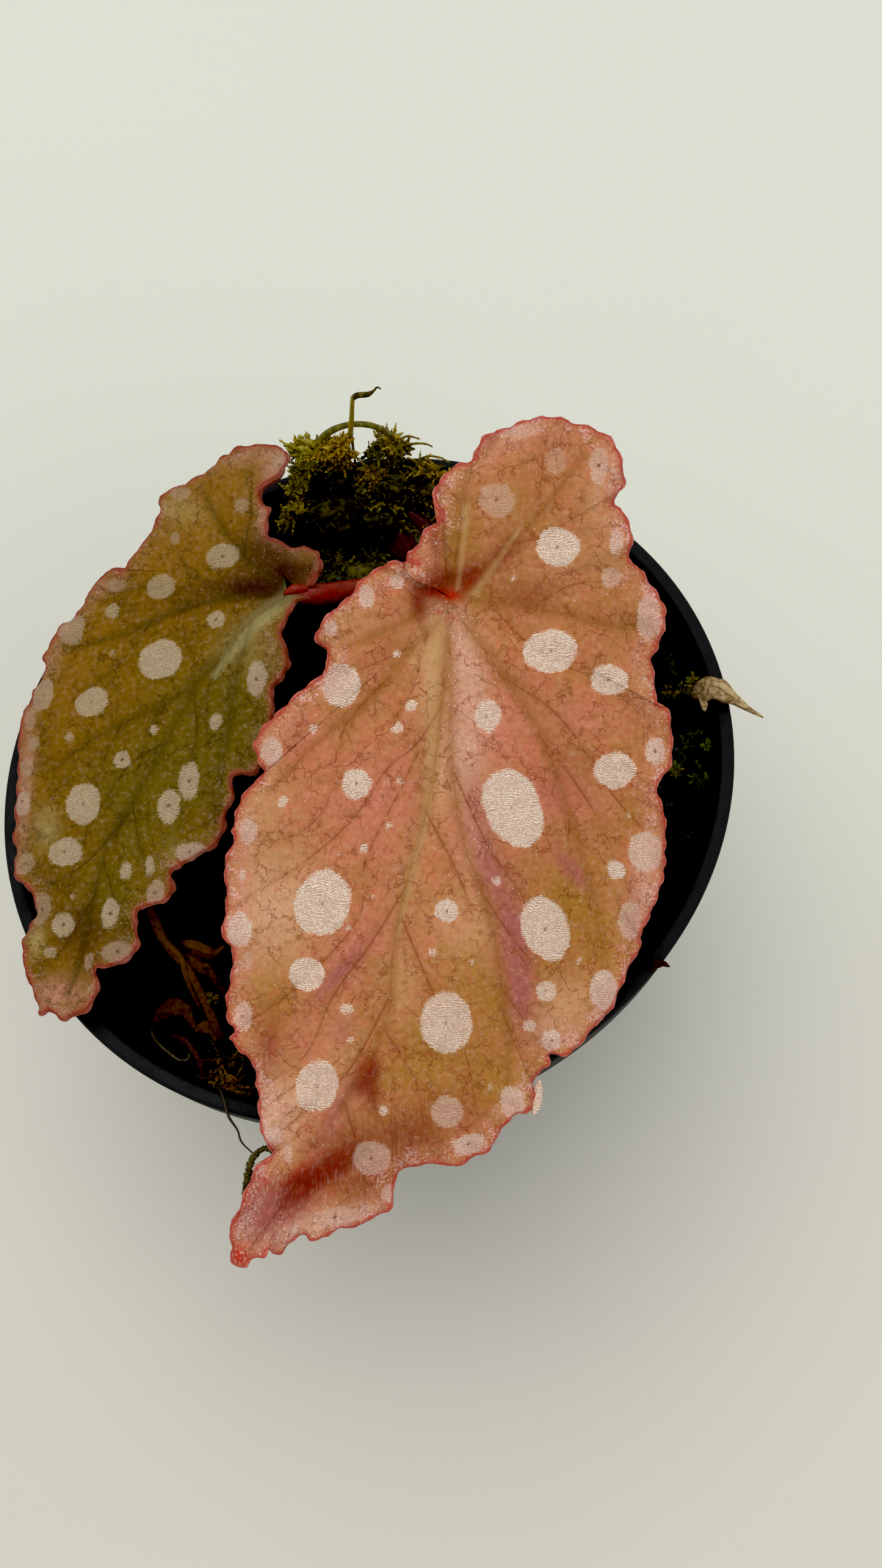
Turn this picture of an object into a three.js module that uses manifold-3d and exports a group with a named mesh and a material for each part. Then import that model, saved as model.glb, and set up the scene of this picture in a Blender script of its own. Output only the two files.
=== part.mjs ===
// A potted polka dot begonia: a soft plastic nursery pot, its soil, a crown with two leaves,
// and the moss, strands and dead bits that live on the soil.
// Millimetres, +Z up. The origin is the centre of the pot's underside, +Y is the pot's back.

import * as THREE from 'three';
import { mergeVertices } from 'three/addons/utils/BufferGeometryUtils.js';
import Module from 'manifold-3d';

const wasm = await Module();
wasm.setup();

// ---------------------------------------------------------------- driving dimensions

const POT_HEIGHT = 65;
const RIM_RADIUS = 40; // mean radius of the squeezed rim
const RIM_WIDTH = 1.7; // thickness of the rolled rim, seen from above
const COLLAR_HEIGHT = 7;
const COLLAR_TAPER = 0.45; // how far the collar draws in over its height
const WALL = 0.9;
const BASE_RADIUS = 29.3;
const FLOOR = 1.5;
const SQUEEZE = 0.051; // the soft rim is this share longer and shorter than round
const SQUEEZE_ANGLE = THREE.MathUtils.degToRad(34);
const POT_SIDES = 56;
const DRAIN_HOLES = 8;
const DRAIN_RADIUS = 2.6;
const DRAIN_CIRCLE = 21;

const SOIL_DEPTH = 12; // rim to soil
const SOIL_LUMP = 0.9;
const GAP = 0.3; // between pieces that touch
const SOIL = POT_HEIGHT - SOIL_DEPTH;

const BLADE = 0.7; // blade thickness
const PETIOLE_RADIUS = 1.15;

const rim = (x, y, above) => new THREE.Vector3(x, y, POT_HEIGHT + above); // a point near the rim
const smooth = THREE.MathUtils.smoothstep;

// ---------------------------------------------------------------- finishes

const finish = (color, roughness) => new THREE.MeshStandardMaterial({ color, roughness, metalness: 0 });
const FINISHES = {
  pot: finish(0x1c1d20, 0.45),
  soil: finish(0x14100d, 0.95),
  bigLeaf: finish(0xc48057, 0.45),
  leftLeaf: finish(0x8e7420, 0.45),
  petiole: finish(0x9c2f16, 0.4),
  bud: finish(0x57101a, 0.45),
  moss: finish(0x7f7a18, 0.85),
  darkMoss: finish(0x2c3a16, 0.85),
  oliveMoss: finish(0x6a5a1c, 0.85),
  dry: finish(0xc3ae7c, 0.7),
  dead: finish(0x6e4a24, 0.75),
  root: finish(0x3a2f22, 0.7),
};

// ---------------------------------------------------------------- mesh tools

// Shared corners joined, triangles that have collapsed to a line dropped.
function weld(geometry) {
  const bare = new THREE.BufferGeometry();
  bare.setAttribute('position', geometry.getAttribute('position').clone());
  if (geometry.index) bare.setIndex(geometry.index.clone());
  const merged = mergeVertices(bare, 1e-3);
  const old = merged.index.array;
  const kept = [];
  for (let i = 0; i < old.length; i += 3) {
    const [a, b, c] = [old[i], old[i + 1], old[i + 2]];
    if (a !== b && b !== c && c !== a) kept.push(a, b, c);
  }
  merged.setIndex(kept);
  return merged;
}

function solidOf(geometry) {
  const closed = weld(geometry);
  return new wasm.Manifold(new wasm.Mesh({
    numProp: 3,
    vertProperties: Float32Array.from(closed.getAttribute('position').array),
    triVerts: Uint32Array.from(closed.index.array),
  }));
}

function geometryOf(solid) {
  const mesh = solid.getMesh();
  const geometry = new THREE.BufferGeometry();
  geometry.setAttribute('position', new THREE.BufferAttribute(mesh.vertProperties, 3));
  geometry.setIndex(new THREE.BufferAttribute(mesh.triVerts, 1));
  return geometry;
}

// The largest connected body: a scrap that a cut leaves loose is dropped.
function mainBody(solid) {
  return solid.decompose().reduce((best, part) => (part.volume() > best.volume() ? part : best));
}

const fuse = (geometries) => geometries.map(solidOf).reduce((sum, next) => sum.add(next));

// A round tube through the points whose radius runs through the radii; the ends are flat caps.
function tube(points, radii, sides = 8, steps = 3 * points.length) {
  const curve = new THREE.CatmullRomCurve3(points);
  const frames = curve.computeFrenetFrames(steps, false);
  const vertices = [];
  const faces = [];
  for (let i = 0; i <= steps; i += 1) {
    const centre = curve.getPointAt(i / steps);
    const place = curve.getUtoTmapping(i / steps) * (radii.length - 1);
    const k = Math.min(Math.floor(place), radii.length - 2);
    const radius = THREE.MathUtils.lerp(radii[k], radii[k + 1], place - k);
    for (let j = 0; j < sides; j += 1) {
      const angle = (2 * Math.PI * j) / sides;
      const corner = centre.clone()
        .addScaledVector(frames.normals[i], radius * Math.cos(angle))
        .addScaledVector(frames.binormals[i], radius * Math.sin(angle));
      vertices.push(...corner.toArray());
      const next = (j + 1) % sides;
      const [a, b] = [i * sides + j, i * sides + next];
      if (i < steps) faces.push(a, b, b + sides, a, b + sides, a + sides);
    }
  }
  for (let j = 1; j < sides - 1; j += 1) {
    const last = steps * sides;
    faces.push(0, j + 1, j, last, last + j, last + j + 1);
  }
  const geometry = new THREE.BufferGeometry();
  geometry.setAttribute('position', new THREE.Float32BufferAttribute(vertices, 3));
  geometry.setIndex(faces);
  return geometry;
}

// A rounded lump: a sphere stretched to three half-lengths, with knobs on it.
function lump(centre, halves, knob = 0.12, sides = 10) {
  const geometry = new THREE.SphereGeometry(1, sides, Math.round(sides * 0.6));
  const position = geometry.getAttribute('position');
  const v = new THREE.Vector3();
  for (let i = 0; i < position.count; i += 1) {
    v.fromBufferAttribute(position, i);
    v.multiplyScalar(1 + knob * Math.sin(5 * v.x + 2 * v.z) * Math.cos(4 * v.y - v.x));
    v.multiply(halves).add(centre);
    position.setXYZ(i, v.x, v.y, v.z);
  }
  return geometry;
}

function seededRandom(seed) {
  let state = seed;
  return () => {
    state = (state * 16807) % 2147483647;
    return state / 2147483647;
  };
}

const group = new THREE.Group();

function addPiece(name, geometry, material) {
  const mesh = new THREE.Mesh(geometry, material);
  mesh.name = name;
  group.add(mesh);
}

// ---------------------------------------------------------------- pot

// Round at the base, squeezed to an oval at the rim: the share grows with height.
function squeeze(geometry) {
  const position = geometry.getAttribute('position');
  for (let i = 0; i < position.count; i += 1) {
    const [x, y, z] = [position.getX(i), position.getY(i), position.getZ(i)];
    const turn = 2 * (Math.atan2(y, x) - SQUEEZE_ANGLE);
    const share = 1 + SQUEEZE * (z / POT_HEIGHT) * Math.cos(turn);
    position.setXYZ(i, x * share, y * share, z);
  }
  return geometry;
}

// A profile of [radius, height] pairs turned round the Z axis.
function turned(profile, sides = POT_SIDES) {
  const lathe = new THREE.LatheGeometry(profile.map(([r, z]) => new THREE.Vector2(r, z)), sides);
  return squeeze(lathe.rotateX(Math.PI / 2));
}

const TOP_INNER = RIM_RADIUS - RIM_WIDTH;
const BASE_INNER = BASE_RADIUS - WALL;
const innerRadius = (z) => THREE.MathUtils.lerp(BASE_INNER, TOP_INNER, (z - FLOOR) / (POT_HEIGHT - FLOOR));
const COLLAR_FOOT = POT_HEIGHT - COLLAR_HEIGHT;

function makePot() {
  const wallTop = innerRadius(COLLAR_FOOT) + WALL;
  const body = turned([
    [0, 0],
    [BASE_RADIUS - 0.6, 0],
    [BASE_RADIUS, 0.8],
    [wallTop, COLLAR_FOOT - 0.2],
    [RIM_RADIUS - COLLAR_TAPER, COLLAR_FOOT],
    [RIM_RADIUS, POT_HEIGHT - 0.5],
    [RIM_RADIUS - 0.35, POT_HEIGHT],
    [TOP_INNER + 0.35, POT_HEIGHT],
    [TOP_INNER, POT_HEIGHT - 0.4],
    [innerRadius(COLLAR_FOOT), COLLAR_FOOT],
    [BASE_INNER, FLOOR],
    [0, FLOOR],
  ]);
  let pot = solidOf(body);
  for (let i = 0; i < DRAIN_HOLES; i += 1) {
    const angle = (2 * Math.PI * i) / DRAIN_HOLES;
    const drill = new THREE.CylinderGeometry(DRAIN_RADIUS, DRAIN_RADIUS, 4 * FLOOR, 12);
    drill.rotateX(Math.PI / 2);
    drill.translate(DRAIN_CIRCLE * Math.cos(angle), DRAIN_CIRCLE * Math.sin(angle), 0);
    pot = pot.subtract(solidOf(drill));
  }
  return geometryOf(pot);
}

// The space that the rim and wall take, with the gap round it.
const rimSpace = solidOf(turned([
  [TOP_INNER - GAP, POT_HEIGHT + GAP],
  [innerRadius(SOIL - 4) - GAP, SOIL - 4],
  [RIM_RADIUS + 4, SOIL - 4],
  [RIM_RADIUS + GAP, COLLAR_FOOT - 1],
  [RIM_RADIUS + GAP, POT_HEIGHT + GAP],
  [TOP_INNER - GAP, POT_HEIGHT + GAP],
]));

// ---------------------------------------------------------------- soil

// Lumps of the soil's surface: three crossed waves.
function soilHeight(x, y) {
  const coarse = Math.sin(0.42 * x + 1.1) * Math.cos(0.37 * y);
  const fine = Math.sin(0.83 * x - 0.6 * y) + 0.6 * Math.cos(1.1 * y + 0.5 * x);
  return SOIL + SOIL_LUMP * (0.7 * coarse + 0.4 * fine);
}

// A plug that fills the pot, its top in rings that carry the lumps.
function makeSoil(holes) {
  const rings = 9;
  const bottom = FLOOR + GAP;
  const profile = [[0, bottom], [innerRadius(bottom) - GAP, bottom]];
  for (let i = rings; i >= 0; i -= 1) {
    profile.push([((innerRadius(SOIL) - GAP) * i) / rings, SOIL]);
  }
  const plug = turned(profile, 44);
  const position = plug.getAttribute('position');
  for (let i = 0; i < position.count; i += 1) {
    if (position.getZ(i) > bottom + 1) {
      const [x, y] = [position.getX(i), position.getY(i)];
      const level = Math.hypot(x, y) > innerRadius(SOIL) * 0.93 ? SOIL - 0.8 : soilHeight(x, y);
      position.setZ(i, level);
    }
  }
  return geometryOf(holes.reduce((soil, hole) => soil.subtract(hole), solidOf(plug)));
}

// ---------------------------------------------------------------- leaves

// A blade lies in its own plane: the hub, where the petiole joins, is the origin, x runs to the
// right and y away from the tip. The outline is four stretches of points: from the sinus round the
// first lobe, down the left side to the tip, up the right side, and round the last lobe to the sinus.
// The two lobes are spread from the hub, the two sides from points along the midrib.

const BIG_LEAF = {
  hub: new THREE.Vector3(8.6, 11.1, 89.5),
  slope: [0, 0.325], // rise of the plane along X and Y
  dome: 0.004,
  dip: 1.6,
  wave: 0.9,
  fold: 0.22,
  lift: 1.7,
  firstBend: 0.6,
  lastBend: 1.5,
  midrib: [[0, 0], [-0.1, -2.9], [-0.6, -9.7], [-1.7, -19.2], [-4.1, -28.8], [-5.6, -35.9],
    [-6.2, -43.1], [-8.4, -48.1], [-11.9, -54.0], [-15.1, -59.3], [-17.8, -63.4], [-20.0, -66.3]],
  firstLobe: [[-3.2, 3.2], [-4.4, 3.5], [-5.9, 3.4], [-7.5, 2.7], [-9.0, 1.7], [-10.4, -0.3],
    [-12.4, -2.0], [-13.6, -3.7], [-13.6, -4.7], [-12.6, -5.7], [-12.5, -6.9], [-12.9, -7.7],
    [-13.5, -8.6], [-15.0, -9.4], [-16.9, -11.2], [-18.4, -12.6], [-19.6, -14.0], [-20.1, -15.5],
    [-19.7, -16.9], [-19.2, -18.2], [-21.0, -20.0]],
  leftSide: [[-22.0, -21.8], [-22.4, -24.1], [-22.2, -24.9], [-23.0, -26.7], [-23.4, -28.1],
    [-23.2, -30.1], [-23.1, -32.4], [-23.4, -34.1], [-23.2, -35.5], [-22.4, -36.3], [-22.5, -38.4],
    [-22.8, -40.2], [-23.1, -42.0], [-22.7, -43.7], [-22.0, -44.8], [-22.5, -45.6], [-21.5, -46.8],
    [-20.2, -48.4], [-19.7, -51.0], [-19.4, -53.7], [-19.1, -55.4], [-18.5, -56.6], [-17.6, -57.1],
    [-16.7, -57.3], [-16.4, -58.2], [-17.0, -58.5], [-17.7, -58.1], [-18.4, -57.9], [-19.2, -58.0],
    [-19.9, -58.8], [-20.8, -60.9], [-21.1, -61.8], [-21.7, -63.2], [-22.4, -64.6], [-22.1, -66.4],
    [-22.4, -67.1], [-22.2, -68.0]],
  tip: [-21.4, -68.6],
  rightSide: [[-20.6, -68.5], [-20.2, -67.7], [-18.7, -67.4], [-18.4, -66.6], [-18.0, -67.2],
    [-17.0, -67.3], [-15.9, -66.0], [-14.9, -65.6], [-14.0, -66.0], [-12.6, -65.7], [-11.3, -65.0],
    [-9.2, -65.0], [-7.9, -64.2], [-6.2, -63.3], [-5.6, -62.0], [-5.5, -60.2], [-4.6, -59.2],
    [-1.2, -58.6], [0.7, -58.8], [2.1, -58.2], [4.3, -57.5], [5.3, -55.7], [6.6, -53.9],
    [8.6, -53.1], [9.1, -52.2], [9.0, -50.1], [10.5, -48.7], [10.6, -47.6], [12.5, -47.5],
    [13.9, -46.5], [15.6, -44.6], [16.9, -43.5], [17.7, -41.5], [19.0, -38.4], [20.4, -36.4],
    [20.2, -35.6], [20.7, -34.6]],
  lastLobe: [[21.7, -31.8], [22.7, -28.4], [22.8, -26.5], [22.7, -23.1], [21.8, -20.3],
    [21.7, -19.2], [22.8, -18.1], [23.3, -16.9], [23.4, -15.0], [23.0, -12.5], [22.5, -11.3],
    [21.5, -10.9], [21.3, -8.1], [21.1, -6.3], [21.8, -5.0], [22.3, -3.1], [22.3, -1.2], [20.8, 1.6],
    [19.8, 3.1], [18.7, 3.8], [18.9, 6.2], [18.0, 8.9], [17.1, 9.7], [18.0, 11.2], [18.3, 12.0],
    [17.9, 13.8], [17.4, 15.4], [16.7, 16.6], [15.2, 17.6], [12.8, 18.1], [10.4, 18.5], [8.4, 18.4],
    [6.3, 17.7], [3.9, 16.6], [2.9, 15.3], [2.4, 14.0], [0.7, 13.5], [-0.8, 12.0], [-1.5, 10.7],
    [-1.4, 9.4], [-0.7, 8.4], [-0.8, 7.7], [-2.1, 6.9], [-2.9, 5.9], [-3.6, 4.6], [-4.1, 4.2]],
};

const LEFT_LEAF = {
  hub: new THREE.Vector3(-7.9, 17.4, 77),
  slope: [0.2475, 0.042],
  dome: 0.002,
  dip: 0.6,
  wave: 0.7,
  fold: 0.1,
  lift: 0,
  firstBend: 0,
  lastBend: 0,
  midrib: [[0, 0], [-2.4, -1.2], [-5.7, -3.9], [-8.2, -7.0], [-11.2, -10.6], [-13.8, -15.2],
    [-16.8, -20.7], [-19.2, -24.7], [-21.0, -28.3], [-22.1, -32.6], [-23.2, -39.0], [-24.4, -44.4]],
  firstLobe: [[1.6, 0.2], [2.5, 1.1], [3.0, 2.4], [2.4, 3.8], [1.2, 4.9], [-1.4, 5.3], [-3.2, 6.3],
    [-3.4, 7.7], [-3.3, 9.6], [-4.3, 10.8], [-4.2, 12.1], [-2.5, 12.9], [-1.6, 13.8], [-1.2, 14.8],
    [-1.7, 16.6], [-3.5, 17.7], [-6.7, 17.3], [-8.3, 16.6], [-10.9, 15.4], [-14.8, 13.2],
    [-16.4, 11.6], [-16.4, 10.3], [-18.0, 8.4], [-19.9, 5.6], [-20.5, 4.0]],
  leftSide: [[-21.7, 4.4], [-23.5, 3.6], [-25.4, 1.9], [-26.0, 0.2], [-28.3, -2.7], [-29.8, -5.2],
    [-29.9, -6.5], [-31.0, -9.1], [-31.9, -13.2], [-32.5, -16.8], [-32.3, -19.7], [-31.8, -21.7],
    [-31.9, -23.9], [-32.3, -26.1], [-32.0, -27.9], [-31.3, -30.8], [-29.6, -32.2], [-29.3, -33.1],
    [-29.1, -35.1], [-29.9, -37.0], [-29.7, -39.1], [-29.3, -42.0], [-28.4, -43.9], [-27.3, -46.0],
    [-26.2, -45.8]],
  tip: [-24.7, -46.7],
  rightSide: [[-23.9, -46.4], [-22.1, -45.4], [-20.9, -43.5], [-21.0, -41.4], [-19.7, -41.2],
    [-17.7, -40.1], [-17.0, -38.6], [-16.9, -36.2], [-16.5, -35.2], [-14.0, -34.2], [-13.3, -33.0],
    [-13.4, -31.2], [-12.5, -30.6], [-10.7, -30.0], [-8.5, -28.4], [-7.8, -26.6], [-7.7, -24.9],
    [-6.4, -23.3], [-6.7, -21.3], [-4.2, -20.6], [-2.9, -17.4], [-2.1, -13.9], [-2.2, -11.4],
    [-1.3, -9.9], [-0.8, -8.3], [-1.5, -5.0], [-0.6, -3.1]],
  lastLobe: [[0.0, -1.6], [1.3, -0.8]],
};

const RINGS = [0, 0.26, 0.56, 0.8, 0.92, 1]; // shares of the way from hub or midrib to margin
const WAVE_PITCH = 9.5; // length of one ruffle along the margin
const WAVE_REACH = 4.5; // how far in from the margin the ruffles die away

const distance = ([ax, ay], [bx, by]) => Math.hypot(bx - ax, by - ay);

// Points are added halfway along the longest steps until there are as many as asked for.
function refined(points, count) {
  const list = points.map((point) => [...point]);
  while (list.length < count) {
    let widest = 0;
    for (let i = 1; i < list.length - 1; i += 1) {
      if (distance(list[i], list[i + 1]) > distance(list[widest], list[widest + 1])) widest = i;
    }
    const [a, b] = [list[widest], list[widest + 1]];
    list.splice(widest + 1, 0, [(a[0] + b[0]) / 2, (a[1] + b[1]) / 2]);
  }
  return list;
}

// The spokes of a blade: each runs from its root, the hub or a point of the midrib, to the margin.
function spokesOf(leaf) {
  const sideCount = Math.max(leaf.leftSide.length, leaf.rightSide.length);
  const left = refined(leaf.leftSide, sideCount);
  const right = refined(leaf.rightSide, sideCount);
  const midrib = new THREE.SplineCurve(leaf.midrib.map(([x, y]) => new THREE.Vector2(x, y)));
  const station = (share) => ({ share, root: midrib.getPointAt(share).toArray() });
  const spokes = [];
  leaf.firstLobe.forEach((end) => spokes.push({ end, ...station(0) }));
  left.forEach((end, i) => spokes.push({ end, ...station((i + 1) / (sideCount + 1)) }));
  spokes.push({ end: leaf.tip, ...station(1) });
  right.forEach((end, i) => spokes.push({ end, ...station(1 - (i + 1) / (sideCount + 1)) }));
  leaf.lastLobe.forEach((end) => spokes.push({ end, ...station(0) }));
  let along = 0;
  spokes.forEach((spoke, i) => {
    if (i > 0) along += distance(spokes[i - 1].end, spoke.end);
    spoke.along = along;
  });
  return spokes;
}

// The blade's surface above its plane at a share of the way along a spoke.
function bladePoint(leaf, spoke, length, s) {
  const [rx, ry] = spoke.root;
  const [ex, ey] = spoke.end;
  const reach = Math.hypot(ex - rx, ey - ry);
  const firstSide = Math.exp(-((spoke.along / 2.5) ** 2)) * leaf.firstBend * 4 * s * (1 - s);
  const left = length - spoke.along;
  const lastSide = Math.exp(-((left / 3.5) ** 2)) * leaf.lastBend * 6.75 * s * s * (1 - s);
  const bend = (firstSide + lastSide) * Math.SQRT1_2;
  const x = rx + (ex - rx) * s - bend;
  const y = ry + (ey - ry) * s - bend;
  const fromHub = Math.hypot(x, y);
  const phase = (2 * Math.PI * spoke.along) / WAVE_PITCH + 1.3 * Math.sin(spoke.along / 17);
  const z = -leaf.dome * (reach * s) ** 2
    - leaf.dip * Math.exp(-((fromHub / 5) ** 2))
    + leaf.wave * Math.sin(phase) * s * Math.exp(-((reach * (1 - s)) / WAVE_REACH))
    + leaf.fold * reach * s * smooth(spoke.share, 0.7, 1)
    + leaf.lift * smooth(fromHub, 0.3, 2.4) * Math.exp(-((left / 9) ** 2));
  return [x, y, z];
}

// The plane of a leaf: its sideways, upward and outward directions, placed at the hub.
function planeOf(leaf) {
  const out = new THREE.Vector3(-leaf.slope[0], -leaf.slope[1], 1).normalize();
  const side = new THREE.Vector3(1, 0, 0).addScaledVector(out, -out.x).normalize();
  const up = new THREE.Vector3().crossVectors(out, side);
  return new THREE.Matrix4().makeBasis(side, up, out).setPosition(leaf.hub);
}

const turnsLeft = (p, q, r) => (q[0] - p[0]) * (r[1] - p[1]) - (q[1] - p[1]) * (r[0] - p[0]) > 0;

// Two sheets of the same triangles, a blade's thickness apart, closed round the edge.
function makeBlade(leaf) {
  const spokes = spokesOf(leaf);
  const length = spokes.at(-1).along;
  const rows = spokes.map((spoke) => RINGS.map((s) => bladePoint(leaf, spoke, length, s)));
  const last = RINGS.length - 1;
  const rowSize = RINGS.length;
  const sheet = rows.flat();
  const faces = [];
  const triangle = (a, b, c) => {
    faces.push(a, b, c, c + sheet.length, b + sheet.length, a + sheet.length);
  };
  const wall = (a, b) => {
    faces.push(a, a + sheet.length, b + sheet.length, a, b + sheet.length, b);
  };
  for (let i = 0; i < rows.length - 1; i += 1) {
    for (let j = 0; j < last; j += 1) {
      const a = i * rowSize + j;
      const [b, c, d] = [a + 1, a + rowSize + 1, a + rowSize];
      const firstWay = turnsLeft(sheet[a], sheet[b], sheet[c]) && turnsLeft(sheet[a], sheet[c], sheet[d]);
      if (firstWay || j === 0) {
        triangle(a, b, c);
        triangle(a, c, d);
      } else {
        triangle(a, b, d);
        triangle(b, c, d);
      }
    }
    wall(i * rowSize + last, (i + 1) * rowSize + last);
  }
  for (let j = 0; j < last; j += 1) {
    wall(j, j + 1);
    const end = (rows.length - 1) * rowSize;
    wall(end + j + 1, end + j);
  }
  const top = sheet.map(([x, y, z]) => [x, y, z + BLADE / 2]);
  const under = sheet.map(([x, y, z]) => [x, y, z - BLADE / 2]);
  const geometry = new THREE.BufferGeometry();
  geometry.setAttribute('position', new THREE.Float32BufferAttribute([...top, ...under].flat(), 3));
  geometry.setIndex(faces);
  return weld(geometry.applyMatrix4(planeOf(leaf)));
}

// ---------------------------------------------------------------- crown, petioles and bud

const bigPlane = planeOf(BIG_LEAF);
const leftPlane = planeOf(LEFT_LEAF);
const inPlane = (plane, x, y, z) => new THREE.Vector3(x, y, z).applyMatrix4(plane);

// Under the big leaf's hub the petiole meets the blade end on; the left leaf's runs in under its edge.
const bigSeat = -(BIG_LEAF.dip + BLADE / 2 + GAP);
const leftSeat = -(LEFT_LEAF.dip + BLADE / 2 + GAP + PETIOLE_RADIUS);
const bigPetiole = [
  rim(6.6, 22.8, -11), rim(6.9, 21.6, -3), rim(7.8, 17.6, 8),
  inPlane(bigPlane, 0, 0, bigSeat - 5), inPlane(bigPlane, 0, 0, bigSeat),
];
const leftPetiole = [
  rim(2.0, 23.4, -11), rim(1.9, 22.8, -4), rim(0.4, 20.6, 4.5), rim(-3.0, 18.4, 8.8),
  inPlane(leftPlane, 2.2, 0, leftSeat - 0.4), inPlane(leftPlane, -0.4, 0, leftSeat),
];
const budPath = [rim(4.4, 26.4, -10), rim(4.0, 27.6, -7), rim(3.4, 29.0, -3.2), rim(3.0, 29.8, -0.5)];
const shootPath = [rim(7.4, 26.4, -10.5), rim(7.2, 29.6, -8), rim(6.0, 32.6, -5.2), rim(4.0, 34.0, -3.6)];

const petioleRadii = (radius) => [radius * 1.15, radius, radius * 0.95, radius, radius * 1.1];
const budRadii = [1.0, 1.7, 1.6, 0.25];
const shootRadii = [0.9, 0.95, 1.1, 0.5];
const crownPath = [rim(4.3, 24.2, -19), rim(4.3, 24.2, -12), rim(4.4, 24.3, -8)];
const crownRadii = [3.4, 4.6, 3.6];

const widened = (radii) => radii.map((radius) => radius + GAP);
const longer = (path) => [path[0].clone().add(path[0]).sub(path[1]).lerp(path[0], 0.9), ...path.slice(1)];

function makeCrown() {
  const sockets = [
    tube(longer(bigPetiole), widened(petioleRadii(PETIOLE_RADIUS)), 10),
    tube(longer(leftPetiole), widened(petioleRadii(PETIOLE_RADIUS)), 10),
    tube(longer(budPath), widened(budRadii), 10),
    tube(longer(shootPath), widened(shootRadii), 10),
  ];
  const crown = solidOf(tube(crownPath, crownRadii, 14, 6));
  return geometryOf(mainBody(sockets.reduce((rest, socket) => rest.subtract(solidOf(socket)), crown)));
}

// ---------------------------------------------------------------- moss

// Leafy shoots stand out of a clump's core, each a short tapering curve that leans out and droops.
function shoots(count, seed, roots, { length, width, lean, rise = 0.8, droop = 0.3 }) {
  const random = seededRandom(seed);
  const list = [];
  for (let i = 0; i < count; i += 1) {
    const core = roots[Math.floor(random() * roots.length)];
    const turn = 2 * Math.PI * random();
    const out = new THREE.Vector3(
      Math.cos(turn) + lean.x,
      Math.sin(turn) + lean.y,
      rise * (0.3 + 1.2 * random()),
    ).normalize();
    const start = core.centre.clone().addScaledVector(out.clone().multiply(core.halves), 0.35);
    const reach = length * (0.6 + 0.6 * random()) + core.halves.z * 0.4;
    const side = new THREE.Vector3(-out.y, out.x, 0).multiplyScalar(0.25 * (random() - 0.5) * reach);
    const middle = start.clone().addScaledVector(out, reach * 0.55).add(side);
    const end = start.clone().addScaledVector(out, reach).addScaledVector(new THREE.Vector3(0, 0, -1), droop * reach);
    list.push(tube([start, middle, end], [width, width, width * 0.35], 3, 3));
  }
  return list;
}

const core = (x, y, above, hx, hy, hz) => ({ centre: rim(x, y, above), halves: new THREE.Vector3(hx, hy, hz) });

function makeMoss(cores, count, seed, habit, strands = []) {
  const lumps = cores.map(({ centre, halves }) => lump(centre, halves));
  const clump = fuse([...lumps, ...shoots(count, seed, cores, habit), ...strands]);
  return clump.subtract(rimSpace);
}

const backCores = [
  core(-5.2, 36.6, 3.6, 4.0, 2.9, 4.2), core(-5.6, 33.4, -4, 5.4, 3.6, 7.6),
  core(1.2, 36.6, 0.2, 4.0, 2.6, 3.4), core(0.6, 33.6, -6, 4.6, 3.0, 5.4),
  core(6.8, 36.2, -0.8, 3.6, 2.0, 2.8), core(-9.2, 33.2, -2.4, 2.6, 2.6, 5.0),
  core(-2.6, 28.6, -9.8, 4.6, 3.4, 3.2),
];
const archStrand = tube(
  [rim(-6.4, 37.6, 5.6), rim(-3.5, 39.0, 8.2), rim(-0.7, 38.8, 9.0), rim(1.2, 38.8, 7.6), rim(2.6, 38.8, 4.4),
    rim(2.4, 37.4, 1.2)],
  [0.7, 0.6, 0.55, 0.6, 0.7, 0.8], 5, 9,
);
const setaStrand = tube(
  [rim(-2.3, 38.8, 6.8), rim(-2.2, 38.4, 12), rim(-1.8, 37.5, 17.6), rim(-1.4, 37.4, 18.4), rim(0.0, 37.3, 18.9),
    rim(0.6, 37.4, 19.4)],
  [0.4, 0.32, 0.3, 0.5, 0.5, 0.15], 5, 12,
);
const rightCores = [
  core(36.2, 4.6, -9.6, 2.0, 3.4, 3.0), core(36.4, -1.0, -9.0, 2.2, 3.4, 4.0), core(35.6, 11.6, -9.4, 1.8, 2.6, 4.6),
];
const frontCores = [core(-15.0, -33.0, -9.2, 2.6, 1.8, 4.2)];

// ---------------------------------------------------------------- strands, dead bits and roots

// A dried stipule that lies over the rim, its tail sticking out past it.
const dryStrand = tube(
  [rim(35.9, 11.2, -4.2), rim(36.9, 10.8, -0.6), rim(38.4, 9.9, 1.75), rim(40.0, 8.5, 1.75), rim(41.8, 7.2, 1.5),
    rim(44.0, 6.0, 1.3)],
  [0.7, 1.0, 1.3, 1.1, 0.7, 0.2], 7, 12,
);

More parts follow.
